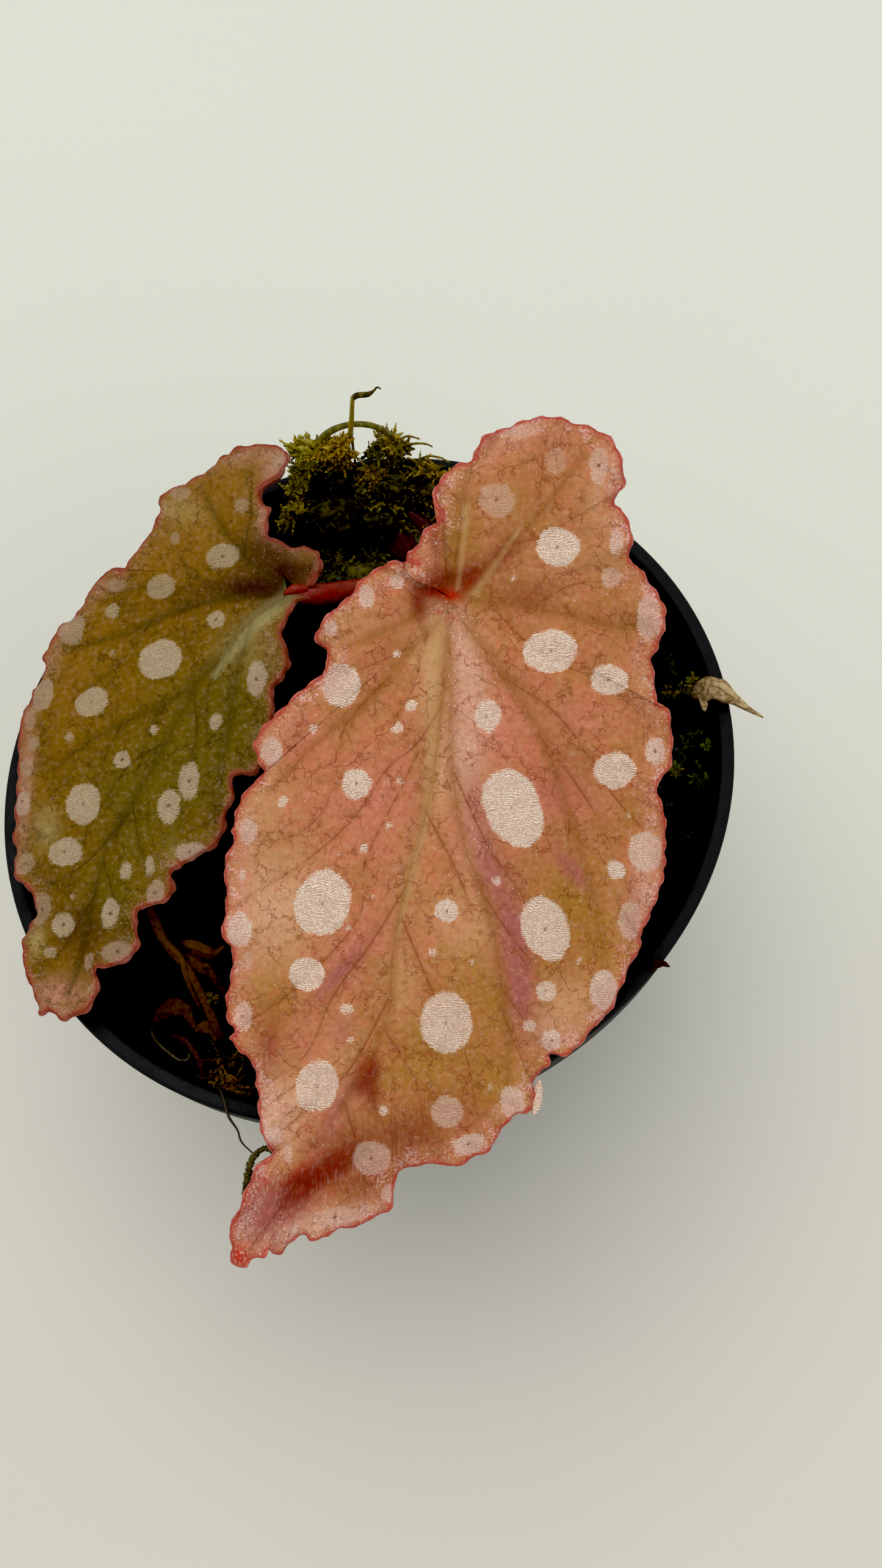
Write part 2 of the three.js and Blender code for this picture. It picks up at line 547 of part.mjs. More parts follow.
// A fallen stem that leans out of the soil, a curled flake on its own stalk and a thin moss strand.
const deadStemPath = [
  rim(-15.6, -28.0, -14), rim(-17.8, -24.7, -6.4), rim(-20.0, -21.6, -4), rim(-22.3, -19.0, -2),
  rim(-24.2, -15.4, 0.4),
];
const deadStemRadii = [0.6, 0.55, 0.5, 0.5, 0.4];
const flakeStalkPath = [rim(-15.2, -25.2, -14), rim(-16.9, -23.0, -7), rim(-18.3, -20.8, -3.6)];
const flakeStalkRadii = [0.5, 0.45, 0.5];
const flakeCap = tube(
  [rim(-20.6, -18.6, -4), rim(-19.4, -19.4, -2.8), rim(-18.0, -19.9, -3), rim(-16.8, -19.4, -4.2)],
  [0.4, 1.0, 1.0, 0.4],
  7,
  8,
);
const thinStrandPath = [
  rim(-24.4, -25.0, -14), rim(-24.4, -27.4, -8.2), rim(-23.6, -29.2, -7.2), rim(-21.3, -31.0, -7.2),
  rim(-20.0, -31.0, -7.6),
];
const thinStrandRadii = [0.35, 0.35, 0.35, 0.3, 0.3];
const holeFor = (path, radii) => solidOf(tube(longer(path), widened(radii), 8, 10));

// A wiry root that hangs over the rim and holds a moss strand under the leaf's tip.
const frontStrand = [
  tube([rim(-15.2, -33.8, -3.0), rim(-15.3, -34.6, -0.2), rim(-15.2, -35.6, 0.95), rim(-14.8, -37.2, 1.0),
    rim(-14.5, -38.6, 0.95), rim(-13.9, -39.9, 0.5), rim(-13.5, -41.2, 0.7), rim(-11.5, -42.9, 2.8)],
  [0.3, 0.3, 0.3, 0.3, 0.3, 0.3, 0.3, 0.32], 5, 16),
  tube([rim(-12.6, -46.9, 0.6), rim(-12.4, -45.2, 1.6), rim(-11.8, -43.2, 2.6), rim(-10.5, -42.2, 3.2),
    rim(-9.2, -43.0, 3.2), rim(-7.8, -44.2, 2.8)], [0.3, 0.45, 0.5, 0.5, 0.45, 0.3], 5, 12),
];
const rimScrap = tube(
  [rim(29.4, -22.6, -3.0), rim(30.6, -22.2, 0.2), rim(31.6, -22.0, 0.95), rim(32.8, -22.4, 0.8)],
  [0.5, 0.7, 0.6, 0.2], 5, 7,
);

const clearOfRim = (solid) => geometryOf(mainBody(solid.subtract(rimSpace)));

// ---------------------------------------------------------------- assembly

const crownHole = solidOf(tube(crownPath, widened(crownRadii), 14, 6)).translate([0, 0, -GAP]);
const sunk = (cores) => cores.map(({ centre, halves }) => solidOf(lump(centre, halves.clone().addScalar(GAP))));

function assemble() {
  const mossBack = mainBody(makeMoss(
    backCores,
    46,
    11,
    { length: 3.2, width: 0.85, lean: new THREE.Vector3(0, -0.25, 0) },
    [archStrand, setaStrand],
  ).subtract(crownHole).subtract(solidOf(tube(shootPath, widened(shootRadii)))).subtract(
    solidOf(tube(budPath, widened(budRadii))),
  ));
  const mossRight = mainBody(makeMoss(
    rightCores,
    16,
    5,
    { length: 3.0, width: 0.7, lean: new THREE.Vector3(0.1, 0, 0) },
  ));
  const mossFront = mainBody(makeMoss(
    frontCores,
    9,
    23,
    { length: 2.6, width: 0.6, lean: new THREE.Vector3(0.1, 0.2, 0), rise: 1.4 },
  ));
  const holes = [
    crownHole, ...sunk(backCores), ...sunk(rightCores), ...sunk(frontCores),
    holeFor(deadStemPath, deadStemRadii), holeFor(flakeStalkPath, flakeStalkRadii),
    holeFor(thinStrandPath, thinStrandRadii),
  ];
  const deadFlake = fuse([tube(flakeStalkPath, flakeStalkRadii, 6, 6), flakeCap]);

  addPiece('pot', makePot(), FINISHES.pot);
  addPiece('soil', makeSoil(holes), FINISHES.soil);
  addPiece('crown', makeCrown(), FINISHES.bud);
  addPiece('petiole_big', tube(bigPetiole, petioleRadii(PETIOLE_RADIUS), 8, 14), FINISHES.petiole);
  addPiece('petiole_left', tube(leftPetiole, petioleRadii(PETIOLE_RADIUS), 8, 16), FINISHES.petiole);
  addPiece('blade_big', makeBlade(BIG_LEAF), FINISHES.bigLeaf);
  addPiece('blade_left', makeBlade(LEFT_LEAF), FINISHES.leftLeaf);
  addPiece('bud', tube(budPath, budRadii, 8, 9), FINISHES.bud);
  addPiece('young_shoot', tube(shootPath, shootRadii, 8, 10), FINISHES.bud);
  addPiece('moss_back', geometryOf(mossBack), FINISHES.moss);
  addPiece('moss_right', geometryOf(mossRight), FINISHES.darkMoss);
  addPiece('moss_front', geometryOf(mossFront), FINISHES.oliveMoss);
  addPiece('dry_stipule', dryStrand, FINISHES.dry);
  addPiece('dead_stem', tube(deadStemPath, deadStemRadii, 6, 10), FINISHES.dead);
  addPiece('dead_flake', geometryOf(deadFlake), FINISHES.dead);
  addPiece('thin_strand', tube(thinStrandPath, thinStrandRadii, 5, 10), FINISHES.oliveMoss);
  addPiece('root_and_moss', clearOfRim(fuse(frontStrand)), FINISHES.root);
  addPiece('rim_scrap', clearOfRim(solidOf(rimScrap)), FINISHES.dead);
}

assemble();

export default group;
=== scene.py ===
"""A potted polka dot begonia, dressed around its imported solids.

Laid out as an add-on: settings, one operator for each piece or group of like pieces, and a panel.
Shapes are worked out in millimetres in the pot's frame: the origin is the centre of the pot's
underside, +Z is up and +Y is the pot's back. The blades repeat the formula of their solids.
"""

import bpy
import numpy as np
from bpy.props import FloatProperty, FloatVectorProperty, IntProperty, PointerProperty
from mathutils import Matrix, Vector


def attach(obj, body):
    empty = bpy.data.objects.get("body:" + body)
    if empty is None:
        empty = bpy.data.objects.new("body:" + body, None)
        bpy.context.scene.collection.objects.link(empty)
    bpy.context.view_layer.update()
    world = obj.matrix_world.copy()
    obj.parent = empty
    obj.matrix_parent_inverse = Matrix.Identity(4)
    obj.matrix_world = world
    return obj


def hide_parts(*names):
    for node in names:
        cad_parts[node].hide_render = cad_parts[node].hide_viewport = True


bl_info = {
    "name": "Potted Polka Dot Begonia",
    "version": (1, 0, 0),
    "blender": (4, 5, 0),
    "location": "View3D > Sidebar > Begonia",
    "description": "Leaves, stalks, moss, soil and nursery pot of a potted begonia",
    "category": "Add Mesh",
}

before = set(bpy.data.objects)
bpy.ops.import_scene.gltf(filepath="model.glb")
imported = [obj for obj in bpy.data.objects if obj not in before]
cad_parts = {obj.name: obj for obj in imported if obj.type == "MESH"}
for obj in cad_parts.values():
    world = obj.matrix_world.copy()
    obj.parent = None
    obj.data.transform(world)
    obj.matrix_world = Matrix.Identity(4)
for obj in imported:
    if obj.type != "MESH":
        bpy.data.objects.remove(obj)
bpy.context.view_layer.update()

MM = 0.001
TURN = 2 * np.pi

# ---------------------------------------------------------------- sizes, in millimetres

# The pot, the soil and the stalks, as in the solids.
POT_HEIGHT = 65.0
RIM_RADIUS = 40.0
RIM_WIDTH = 1.7
COLLAR_HEIGHT = 7.0
COLLAR_TAPER = 0.45
WALL = 0.9
BASE_RADIUS = 29.3
FLOOR = 1.5
SQUEEZE = 0.051
SQUEEZE_ANGLE = np.radians(34)
DRAIN_HOLES = 8
DRAIN_RADIUS = 2.6
DRAIN_CIRCLE = 21.0
SOIL = POT_HEIGHT - 12.0
TOP_INNER = RIM_RADIUS - RIM_WIDTH
BASE_INNER = BASE_RADIUS - WALL
COLLAR_FOOT = POT_HEIGHT - COLLAR_HEIGHT
PETIOLE_RADIUS = 1.15
STALK_RADII = PETIOLE_RADIUS * np.array((1.15, 1.0, 0.95, 1.0, 1.1))

# The blades: their ruffles, how finely they are laid out, and the rounding of their margins.
WAVE_PITCH = 9.5
WAVE_REACH = 4.5
FRILL_PITCH = 3.1
RIB_STEPS = 600
SPOKE_STEPS = 38
NEAR_MARGIN = np.array([0.9, 0.6, 0.38, 0.22, 0.1, 0.03, 0.0])  # last places on a spoke, from its end
ROWS_EACH_WAY = 15  # over which the margin's direction is evened out
EDGE_ROUND = 0.34
UNDERSIDE_SHIFT = 40.0  # so that the fine patterns of the two faces differ
FOLD_RADII = (0.16, 0.54, 0.66, 0.56, 0.2)

# The moss.
GOLDEN_ANGLE = 2.4  # radians between one moss leaf and the next
WALL_GAP = 0.5  # between moss shoots and the pot's wall
TONES = (0.02, 1.1)  # of moss shoots: in deep shade, in full light

# The photo's view; the camera's place is in metres.
CAMERA_PLACE = (0.00783, -0.07092, 0.27945)
CAMERA_TILT = np.radians(18)
CAMERA_LENS = 46.24
BLACK_LEVEL = 0.012

# Each leaf lies in its own plane: its hub is the origin, x runs to the right, y away from the tip.
# A spot is x, y, its two half-widths, how bright it is and, where it lies askew, its turn in degrees.
# A patch of a tint is given in the same way. A pale rib is its first and last half-width and its points.

BIG_LEAF = {
    "hub": (8.6, 11.1, 89.5),
    "slope": (0, 0.325),
    "dome": 0.004,
    "dip": 1.6,
    "wave": 0.9,
    "fold": 0.22,
    "lift": 1.7,
    "first_bend": 0.6,
    "last_bend": 1.5,
    "knob": (-21.4, -67.3, 1.15),
    "midrib": [
        (0, 0), (-0.1, -2.9), (-0.6, -9.7), (-1.7, -19.2), (-4.1, -28.8), (-5.6, -35.9), (-6.2, -43.1), (-8.4, -48.1),
        (-11.9, -54), (-15.1, -59.3), (-17.8, -63.4), (-20, -66.3),
    ],
    "first_lobe": [
        (-3.2, 3.2), (-4.4, 3.5), (-5.9, 3.4), (-7.5, 2.7), (-9, 1.7), (-10.4, -0.3), (-12.4, -2), (-13.6, -3.7),
        (-13.6, -4.7), (-12.6, -5.7), (-12.5, -6.9), (-12.9, -7.7), (-13.4, -8.4), (-15, -9.5), (-16.9, -11.3),
        (-18.4, -12.7), (-19.6, -14), (-20.1, -15.5), (-19.7, -16.9), (-19.2, -18.2), (-21, -20),
    ],
    "left_side": [
        (-22, -21.8), (-22.4, -24.1), (-22.2, -24.9), (-23, -26.7), (-23.4, -28.1), (-23.2, -30.1), (-23.1, -32.4),
        (-23.4, -34.1), (-23.2, -35.5), (-22.4, -36.3), (-22.5, -38.4), (-22.8, -40.2), (-23.1, -42), (-22.7, -43.7),
        (-22, -44.8), (-22.5, -45.6), (-21.5, -46.8), (-20.2, -48.4), (-19.7, -51), (-19.4, -53.7), (-19.1, -55.4),
        (-18.5, -56.6), (-18.1, -57.3), (-18.6, -57.8), (-19.2, -58), (-19.9, -58.8), (-20.8, -60.9), (-21.1, -61.8),
        (-21.7, -63.2), (-22.4, -64.6), (-22.1, -66.4), (-22.4, -67.1), (-22.2, -68),
    ],
    "tip": (-21.4, -68.6),
    "right_side": [
        (-20.6, -68.5), (-20.2, -67.7), (-18.7, -67.4), (-18.4, -66.6), (-18, -67.2), (-17, -67.3), (-15.9, -66),
        (-14.9, -65.6), (-14, -66), (-12.6, -65.7), (-11.3, -65), (-9.2, -65), (-7.9, -64.2), (-6.2, -63.3),
        (-5.6, -62), (-5.5, -60.2), (-4.6, -59.2), (-1.2, -58.6), (0.7, -58.8), (2.1, -58.2), (4.3, -57.5),
        (5.3, -55.7), (6.6, -53.9), (8.6, -53.1), (9.1, -52.2), (9, -50.1), (10.5, -48.7), (10.6, -47.6),
        (12.5, -47.5), (13.9, -46.5), (15.6, -44.6), (16.9, -43.5), (17.7, -41.5), (19, -38.4), (20.4, -36.4),
        (20.2, -35.6), (20.7, -34.6),
    ],
    "last_lobe": [
        (21.7, -31.8), (22.7, -28.4), (22.8, -26.5), (22.7, -23.1), (21.8, -20.3), (21.7, -19.2), (22.8, -18.1),
        (23.3, -16.9), (23.4, -15), (23, -12.5), (22.5, -11.3), (21.5, -10.9), (21.3, -8.1), (21.1, -6.3), (21.8, -5),
        (22.3, -3.1), (22.3, -1.2), (20.8, 1.6), (19.8, 3.1), (18.7, 3.8), (18.9, 6.2), (18, 8.9), (17.1, 9.7),
        (18, 11.2), (18.3, 12), (17.9, 13.8), (17.4, 15.4), (16.7, 16.6), (15.2, 17.6), (12.8, 18.1), (10.4, 18.5),
        (8.4, 18.4), (6.3, 17.7), (3.9, 16.6), (2.9, 15.3), (2.4, 14), (0.7, 13.5), (-0.8, 12), (-1.5, 10.7),
        (-1.4, 9.4), (-0.7, 8.4), (-0.8, 7.7), (-2.1, 6.9), (-2.9, 5.9), (-3.6, 4.6), (-4.1, 4.2),
    ],
    "main_veins": [
        [
            (0, 0), (-0.1, -2.9), (-0.6, -9.7), (-1.7, -19.2), (-4.1, -28.8), (-5.6, -35.9), (-6.2, -43.1),
            (-8.4, -48.1), (-11, -52.6),
        ],
        [(0, 0), (0.1, -2.9), (0.2, -9.5), (0.3, -17), (1.5, -25), (3.3, -30), (4.9, -35.9), (6.2, -45), (6.2, -52.6)],
        [(0, 0), (2.1, -3.4), (8.8, -13), (12.1, -21.1), (15, -30.7), (16.4, -39)],
        [(0, 0), (-1.2, -2.9), (-4.1, -5.8), (-8.4, -11.1), (-12.7, -14.4), (-18.6, -20)],
        [(0, 0), (-2.8, -1.6), (-5.9, -3.4), (-10.9, -5.3)],
        [(0, 0), (0.4, 0.6), (1.2, 8.2), (1.9, 12.4), (5.2, 16.6)],
        [(0, 0), (2.5, 1), (5.6, 4.4), (9.6, 8.6), (14.2, 14.8)],
        [(0, 0), (3.4, -0.6), (10.2, -1.6), (16.2, -3), (20.6, -3.6)],
    ],
    "lobe_rib": [(0, 0), (-0.1, -1.7)],
    "lobe_places": [0, 0, 0, 0, 0, 0, 0, 0, 0.1, 0.2, 0.35, 0.5, 0.65, 0.75, 0.8, 0.85, 0.9, 0.93, 0.96, 0.98, 1],
    "pale_ribs": [
        (0.7, 0.28, [(-1.1, -2.4), (-1.4, -6), (-1.5, -11), (-1.8, -17), (-2.3, -22.5), (-3.6, -27.5), (-5.2, -35)]),
        (0.26, 0.3, [(0.9, 0.7), (1.2, 2.6), (1.5, 5.4), (1.8, 9.2)]),
        (0.45, 0.2, [(2.7, 0.3), (4.1, 2.3), (5.6, 4.4), (7.3, 6.8)]),
    ],
    "side_veins": [
        [(-0.8, -11.5), (-3.4, -15.4), (-6.2, -17.6), (-9.4, -22.4), (-14.6, -27.2), (-21.4, -31.4)],
        [(-2.9, -15.6), (-5, -20), (-8.6, -27.4), (-9.2, -33), (-15.4, -40), (-20.6, -43.8)],
        [(-4.2, -29.6), (-7.8, -35.4), (-11.8, -41), (-14.6, -47), (-19, -50.4)],
        [(-6, -41), (-9.4, -47.4), (-12.4, -51), (-16.6, -54.4)],
        [(-6.4, -44.6), (-3.2, -50.2), (-2.4, -55.4), (-1, -58)],
        [(-4.8, -33), (-1.6, -40.6), (1.6, -46.4), (2.8, -52.8), (3.6, -56.6)],
        [(-2.4, -22), (1, -28.6), (2.6, -33.4)], [(0.5, -18), (4.2, -26), (8.4, -32.4), (9.6, -40.2), (12, -46.4)],
        [(3.5, -30.6), (6.6, -35.2), (9.4, -38.8)], [(5.6, -40.6), (8.4, -44.6), (10, -47)],
        [(5.6, -8.4), (11.4, -12.4), (16.4, -19.6), (20.2, -24)],
        [(9.4, -14.4), (14.6, -21.4), (18.4, -29), (19.6, -33.6)],
        [(12.4, -22.2), (12.6, -28.4), (12.2, -33.2), (13, -40)], [(-3.6, -5.2), (-8.6, -7.4), (-12, -8)],
        [(-6.4, -8.6), (-10.8, -13.8), (-12.6, -21.6), (-16.8, -25.4)], [(-2.2, -3.8), (-3.6, -9.4), (-5.8, -13)],
        [(4.2, -0.8), (9.4, -6), (15.4, -8.6), (20.4, -12.6)], [(6.4, 5.2), (11, 6.2), (17.4, 6.2)],
        [(9.2, 8.2), (9.6, 13), (10.2, 17.6)], [(1.4, 9.4), (-0.2, 11)], [(8.6, -1.2), (13, 1.2), (18.8, 1.6)],
        [(-8.4, -48.1), (-10.6, -49.2), (-14.6, -49.6), (-18.8, -52.4)], [(-10.6, -52), (-9, -57.8), (-8.4, -63.6)],
        [(-6.6, -45.6), (-0.4, -47.6), (4.4, -48.4)],
    ],
    "spots": [
        (10.4, -5.7, 2.85, 2.3, 1, 8), (6.6, -21.8, 2.95, 4.25, 1, 24), (-12.9, -31.5, 2.9, 3.5, 1, -22),
        (10, -34.3, 2.5, 3.5, 0.95, 24), (-0.2, -43.8, 2.7, 3.3, 0.85, 8), (-13.5, -50.2, 2.2, 2.85, 0.85, -16),
        (-14.5, -38.8, 1.87, 1.87, 0.95), (17.2, -17.9, 2.31, 1.94, 0.95), (16.5, -8.6, 2, 1.62, 0.95),
        (-11, -9.2, 2, 2.31, 0.9), (11.2, 5, 2.31, 2.06, 0.95), (4, -12.4, 1.44, 1.75, 0.9),
        (-9.4, -19.3, 1.62, 1.62, 1), (-0.2, -32.3, 1.25, 1.25, 0.95), (-0.1, -53, 1.69, 1.69, 0.45),
        (-7.9, -57.7, 1.94, 1.94, 0.4), (17.5, -28.2, 1.06, 1.06, 1), (10.2, -40.8, 1.19, 1.1, 0.8),
        (4.9, 9.7, 1.87, 1.87, 0.3), (11.1, 13.9, 1.37, 1.37, 0.2), (16.7, 1.9, 1.1, 1.1, 0.45),
        (-5.3, 1.4, 0.87, 0.87, 0.7), (-5.3, -5.9, 0.44, 0.44, 0.9), (-3.9, -11.3, 0.69, 0.6, 0.95),
        (-5.2, -13.5, 0.65, 0.6, 0.95), (-13.9, -13.7, 0.56, 0.56, 0.9), (-4.9, -19, 0.44, 0.4, 0.8),
        (-6.1, -23.6, 0.44, 0.44, 0.8), (-8.7, -25.9, 0.5, 0.5, 0.9), (-1.5, -25.9, 0.37, 0.37, 0.8),
        (-17, -21.1, 0.69, 0.69, 0.9), (-7.9, -30.8, 0.37, 0.37, 0.8), (-10.2, -34.1, 0.37, 0.37, 0.8),
        (4.9, -29.2, 0.56, 0.56, 0.7), (-1.7, -36.5, 0.5, 0.5, 0.9), (2.3, -37.5, 0.31, 0.31, 0.7),
        (-10.4, -42.2, 0.69, 0.6, 0.9), (-10, -45.4, 0.4, 0.4, 0.8), (13.4, -37.5, 0.5, 0.5, 0.7),
        (-6.7, -52.6, 0.56, 0.56, 0.8), (8.4, -44.3, 0.75, 0.75, 0.7), (-12, -3.4, 0.69, 0.8, 0.8),
        (-8.4, -0.1, 0.9, 1.35, 0.75), (6.7, 1.6, 0.31, 0.31, 0.8), (2.6, -15.4, 0.3, 0.3, 0.5),
        (-18.2, -15.9, 1.2, 1.5, 0.75), (-20.7, -24.2, 0.9, 1.6, 0.7), (-21.5, -34.3, 1.31, 1.87, 0.95),
        (-21.4, -28.8, 0.5, 0.7, 0.8), (-21.1, -43.1, 1, 1.5, 0.6), (21.4, -15.9, 1.1, 1.5, 0.85),
        (20.5, -26.3, 1.9, 2.2, 0.7), (19, -33.5, 1.3, 2.1, 0.55), (16.2, -40.9, 1.5, 2.2, 0.85),
        (10.7, -45.9, 1.2, 1.1, 0.9), (6.6, -52.2, 1.4, 1.8, 0.7), (2.1, -56.5, 2, 1.1, 0.8),
        (20.6, -2.2, 1.2, 2.6, 0.6), (17.2, 5.6, 0.8, 1.4, 0.7), (-6, -61.4, 1, 0.9, 0.6), (-18, -55.2, 1.1, 0.9, 0.6),
        (-11.6, -63.6, 2.2, 1, 0.3), (15.4, 13.4, 1, 2.2, 0.5), (7.4, 17, 2.2, 0.8, 0.4),
        (-20.6, -37.6, 0.5, 0.9, 0.5), (-16.4, -57, 0.5, 0.9, 0.4), (12.8, -0.6, 0.2, 0.2, 0.8),
        (8, -16.2, 0.25, 0.25, 0.6), (18.6, -22.6, 0.4, 0.3, 0.6), (-15.5, -26.8, 0.3, 0.3, 0.5),
        (-3, -50.2, 0.3, 0.3, 0.5), (4.4, -50.6, 0.45, 0.4, 0.5),
    ],
    "patches": {
        "cream": [
            (-18, -32, 4.5, 7, 0.85), (-1.5, -12, 1.5, 9, 0.8, 4), (-3.7, -27, 1, 9, 0.6, -14), (0.5, -5, 2.2, 3, 0.7),
            (2, -34, 4, 4, 0.55), (-17, -53, 2.5, 3.5, 0.7), (12.5, -42, 3.5, 3, 0.7), (15.5, 10, 1.5, 4, 0.6),
            (-10, -3, 3.5, 3, 0.3), (-19, -20, 2, 6, 0.35), (14, 4, 4, 3, 0.3), (-5, -40, 2, 4, 0.45),
            (17.5, -31, 1.5, 4, 0.3), (1.4, 4.9, 0.34, 5, 0.9, -6), (5, 3.4, 0.42, 4.2, 0.9, -35),
            (-2.6, -5.5, 1.2, 2.6, 0.7, -10), (-11, -48, 2.6, 5, 0.35), (2, -26.5, 1.2, 3, 0.6, 10),
            (-1.2, -16, 1, 5, 0.6), (20.4, -9, 1.2, 2, 0.5),
        ],
        "pink": [
            (5.5, 16, 6, 2.5, 0.5), (16.5, 13, 2, 5, 0.5), (-7.5, -21, 4.2, 5, 0.9), (-13, -24, 4, 4, 0.35),
            (-7, -32, 2.5, 4, 0.3), (-19.5, -63.5, 2.5, 2.5, 0.4), (-4, -19, 1.4, 7, 0.35, 12),
            (10, -11.5, 5, 2, 0.6, -10), (13.5, -13, 4, 2.6, 0.5), (4.5, -14.5, 2.6, 3, 0.8),
            (13, -21.5, 3.5, 2.5, 0.4), (-10.5, -35.5, 2.5, 3, 0.5), (-15.5, -45.5, 3, 2, 0.4),
            (7, -11.5, 3.5, 4, 0.6), (10.4, -20, 3.4, 3.6, 0.7), (1.6, -24.5, 2, 3, 0.6), (-13.5, -45, 2.5, 4, 0.35),
            (20.5, -30, 1.6, 7, 0.55), (20, -7, 1.8, 5, 0.35), (-2, 4.5, 1.5, 2.5, 0.35), (-21.5, -32, 1.2, 10, 0.45),
            (-15, -14, 3.4, 3.4, 0.6), (-0.4, -1.5, 1.9, 1.1, 1), (-6, 1.5, 4, 1.6, 0.3, 15),
        ],
        "rose": [
            (1.3, -5, 1, 4, 1, 8), (2.2, -9.5, 2, 4.5, 0.9), (1.7, -16.8, 1.8, 5, 1, 3), (-0.8, -1.4, 1.3, 1, 1),
            (3.2, -25.5, 1.1, 3.5, 0.7, 12), (-17.5, -53, 2.2, 3.2, 0.9), (-14.5, -64.6, 5.5, 1.5, 0.95, 12),
            (-17.6, -55.8, 1.3, 1, 0.8, -30), (-18.5, -32, 3, 6, 0.4), (4.5, 16.4, 4, 1.6, 0.5, 20),
            (0.3, -2.4, 1.6, 1.4, 0.8), (-9.5, -63.4, 3, 1, 0.7, 10), (20.4, -30, 1.2, 5, 0.6),
            (10.5, -45, 1.8, 1.6, 0.6), (-20.5, -57.8, 1, 1, 0.9), (-20.6, -64, 1.2, 2, 0.7, 20),
            (17.6, 12, 1, 3.5, 0.6), (-0.6, 11, 1, 2.5, 0.5),
        ],
        "tan": [
            (6, 7, 5.5, 5.5, 0.7), (14, 5.5, 4, 4.5, 0.4), (17, -2, 4, 4, 0.6), (8, 0, 6, 2.4, 0.6),
            (1, 6, 1.6, 5, 0.8), (12, 14.5, 4, 2.5, 0.4), (-6, -5, 4, 2, 0.5, 30), (-7.5, -10.5, 5, 1.4, 0.5, 42),
            (8.5, -10.5, 1.4, 7, 0.5, 42), (20, -9.5, 2, 3, 0.4), (-2.6, -17, 0.9, 8, 0.6, -8),
            (4.4, -31, 1, 6, 0.4, 14), (-8, -41, 2, 5, 0.5, -20), (-8, -55.5, 6, 2.6, 0.9, 10), (8, -29, 3, 2, 0.5),
            (13, -24.5, 4, 2, 0.5), (14, -17.5, 1.2, 4, 0.4, 30),
        ],
        "olive": [
            (13, -31.5, 4, 4.5, 1), (15.5, -36, 2.5, 3, 0.8), (5, -41.5, 3, 4, 0.75), (-1, -46, 5, 5, 0.8),
            (5, -50, 4, 3.5, 0.75), (1, 6, 2, 3.5, 0.7), (1.5, -38.5, 3, 3, 0.45), (-17.5, -41, 3, 4, 0.65),
            (10, -38, 2, 3, 0.5), (19, -22, 1.5, 3, 0.5), (-5, -50, 3, 2.5, 0.45), (8, 10, 3, 3, 0.25),
            (-18, -26, 2, 3, 0.3), (12, -10, 3, 2, 0.2), (3.2, -0.2, 1.2, 1.8, 0.7),
        ],
        # Dark red blotches of the blade itself, and painted shade: the patches about the hub darken its dip, and those
        # near the tip darken the crease of the fold.
        "wine": [
            (2.1, 1.9, 1.9, 1.2, 0.8, 35), (0.2, 1.8, 1.4, 0.9, 0.55), (-1.8, 0.7, 1.7, 0.9, 0.6, -10),
            (-2.9, -0.4, 0.8, 1.8, 0.5), (-1.2, 1.9, 1.2, 1.2, 0.5), (-3.2, -1.2, 0.7, 1.6, 0.5, 10),
            (-8, -48.5, 1, 1.5, 0.75, -20), (-8.8, -50, 1.3, 1.1, 0.7, 20), (-14, -60, 4.4, 1.1, 1, 40),
            (-15.2, -59.9, 2, 0.9, 1, 35), (-16.4, -61.2, 1.2, 1.6, 0.35, -10), (-11.6, -58.4, 3.6, 1.2, 0.75, 28),
            (-11.2, -56.2, 3.6, 2.2, 0.3, 30), (-4, -55.5, 3.5, 2.2, 0.4), (-18.4, -46, 1.2, 3.6, 0.35, -6),
            (-7.7, -51.2, 0.8, 1.6, 0.5), (-19, -60.5, 2, 1.2, 0.2, 30), (-9, -60, 3.5, 2, 0.35, 10),
            (5.5, 4, 2.5, 1, 0.5, 45), (8, 0, 3, 1.6, 0.25), (11, -19, 3, 3, 0.15), (0, -53, 3, 2, 0.2),
            (-1.4, 6, 0.8, 2.4, 0.5, 10),
        ],
        "flush": [
            (4.2, -27.5, 4, 1.5, 0.8, -70), (6.7, -34.5, 5, 1.7, 1, -76), (7.3, -40.5, 4.5, 1.5, 1, -84),
            (-11, -38.5, 4.5, 1.1, 0.9, 47), (13, -28.3, 2.8, 1, 0.85, -50), (2.9, -21.5, 3.5, 1.1, 0.55, -80),
            (-11, -44.5, 1, 1.5, 0.5), (-19.6, -62.4, 3, 3.4, 0.95), (-20.8, -60, 1, 2.4, 0.9),
            (-15.6, -62.8, 3, 1.2, 0.5, 20), (-10.8, -51.5, 1, 3, 0.6, -30), (-12.4, -54.5, 3, 1, 0.45, 60),
            (-18.6, -63.4, 2, 2.6, 0.55, 20),
        ],
        "red": [
            (0.3, 0.1, 0.9, 0.5, 1), (-1, 0.4, 1.4, 0.4, 0.6, 5), (-1, -1.6, 0.3, 0.3, 0.6),
            (0.3, -2.2, 0.35, 0.25, 0.7), (2, 1.1, 0.9, 0.3, 0.35, 35), (-22, -45, 0.4, 0.6, 1),
            (-8.6, -47.8, 0.6, 0.9, 0.2), (-21.4, -67.3, 1, 1, 0.85), (-15.4, -58.9, 2, 0.5, 0.3, 40),
            (-18.8, -59.6, 0.7, 0.6, 0.3, 60),
        ],
    },
}

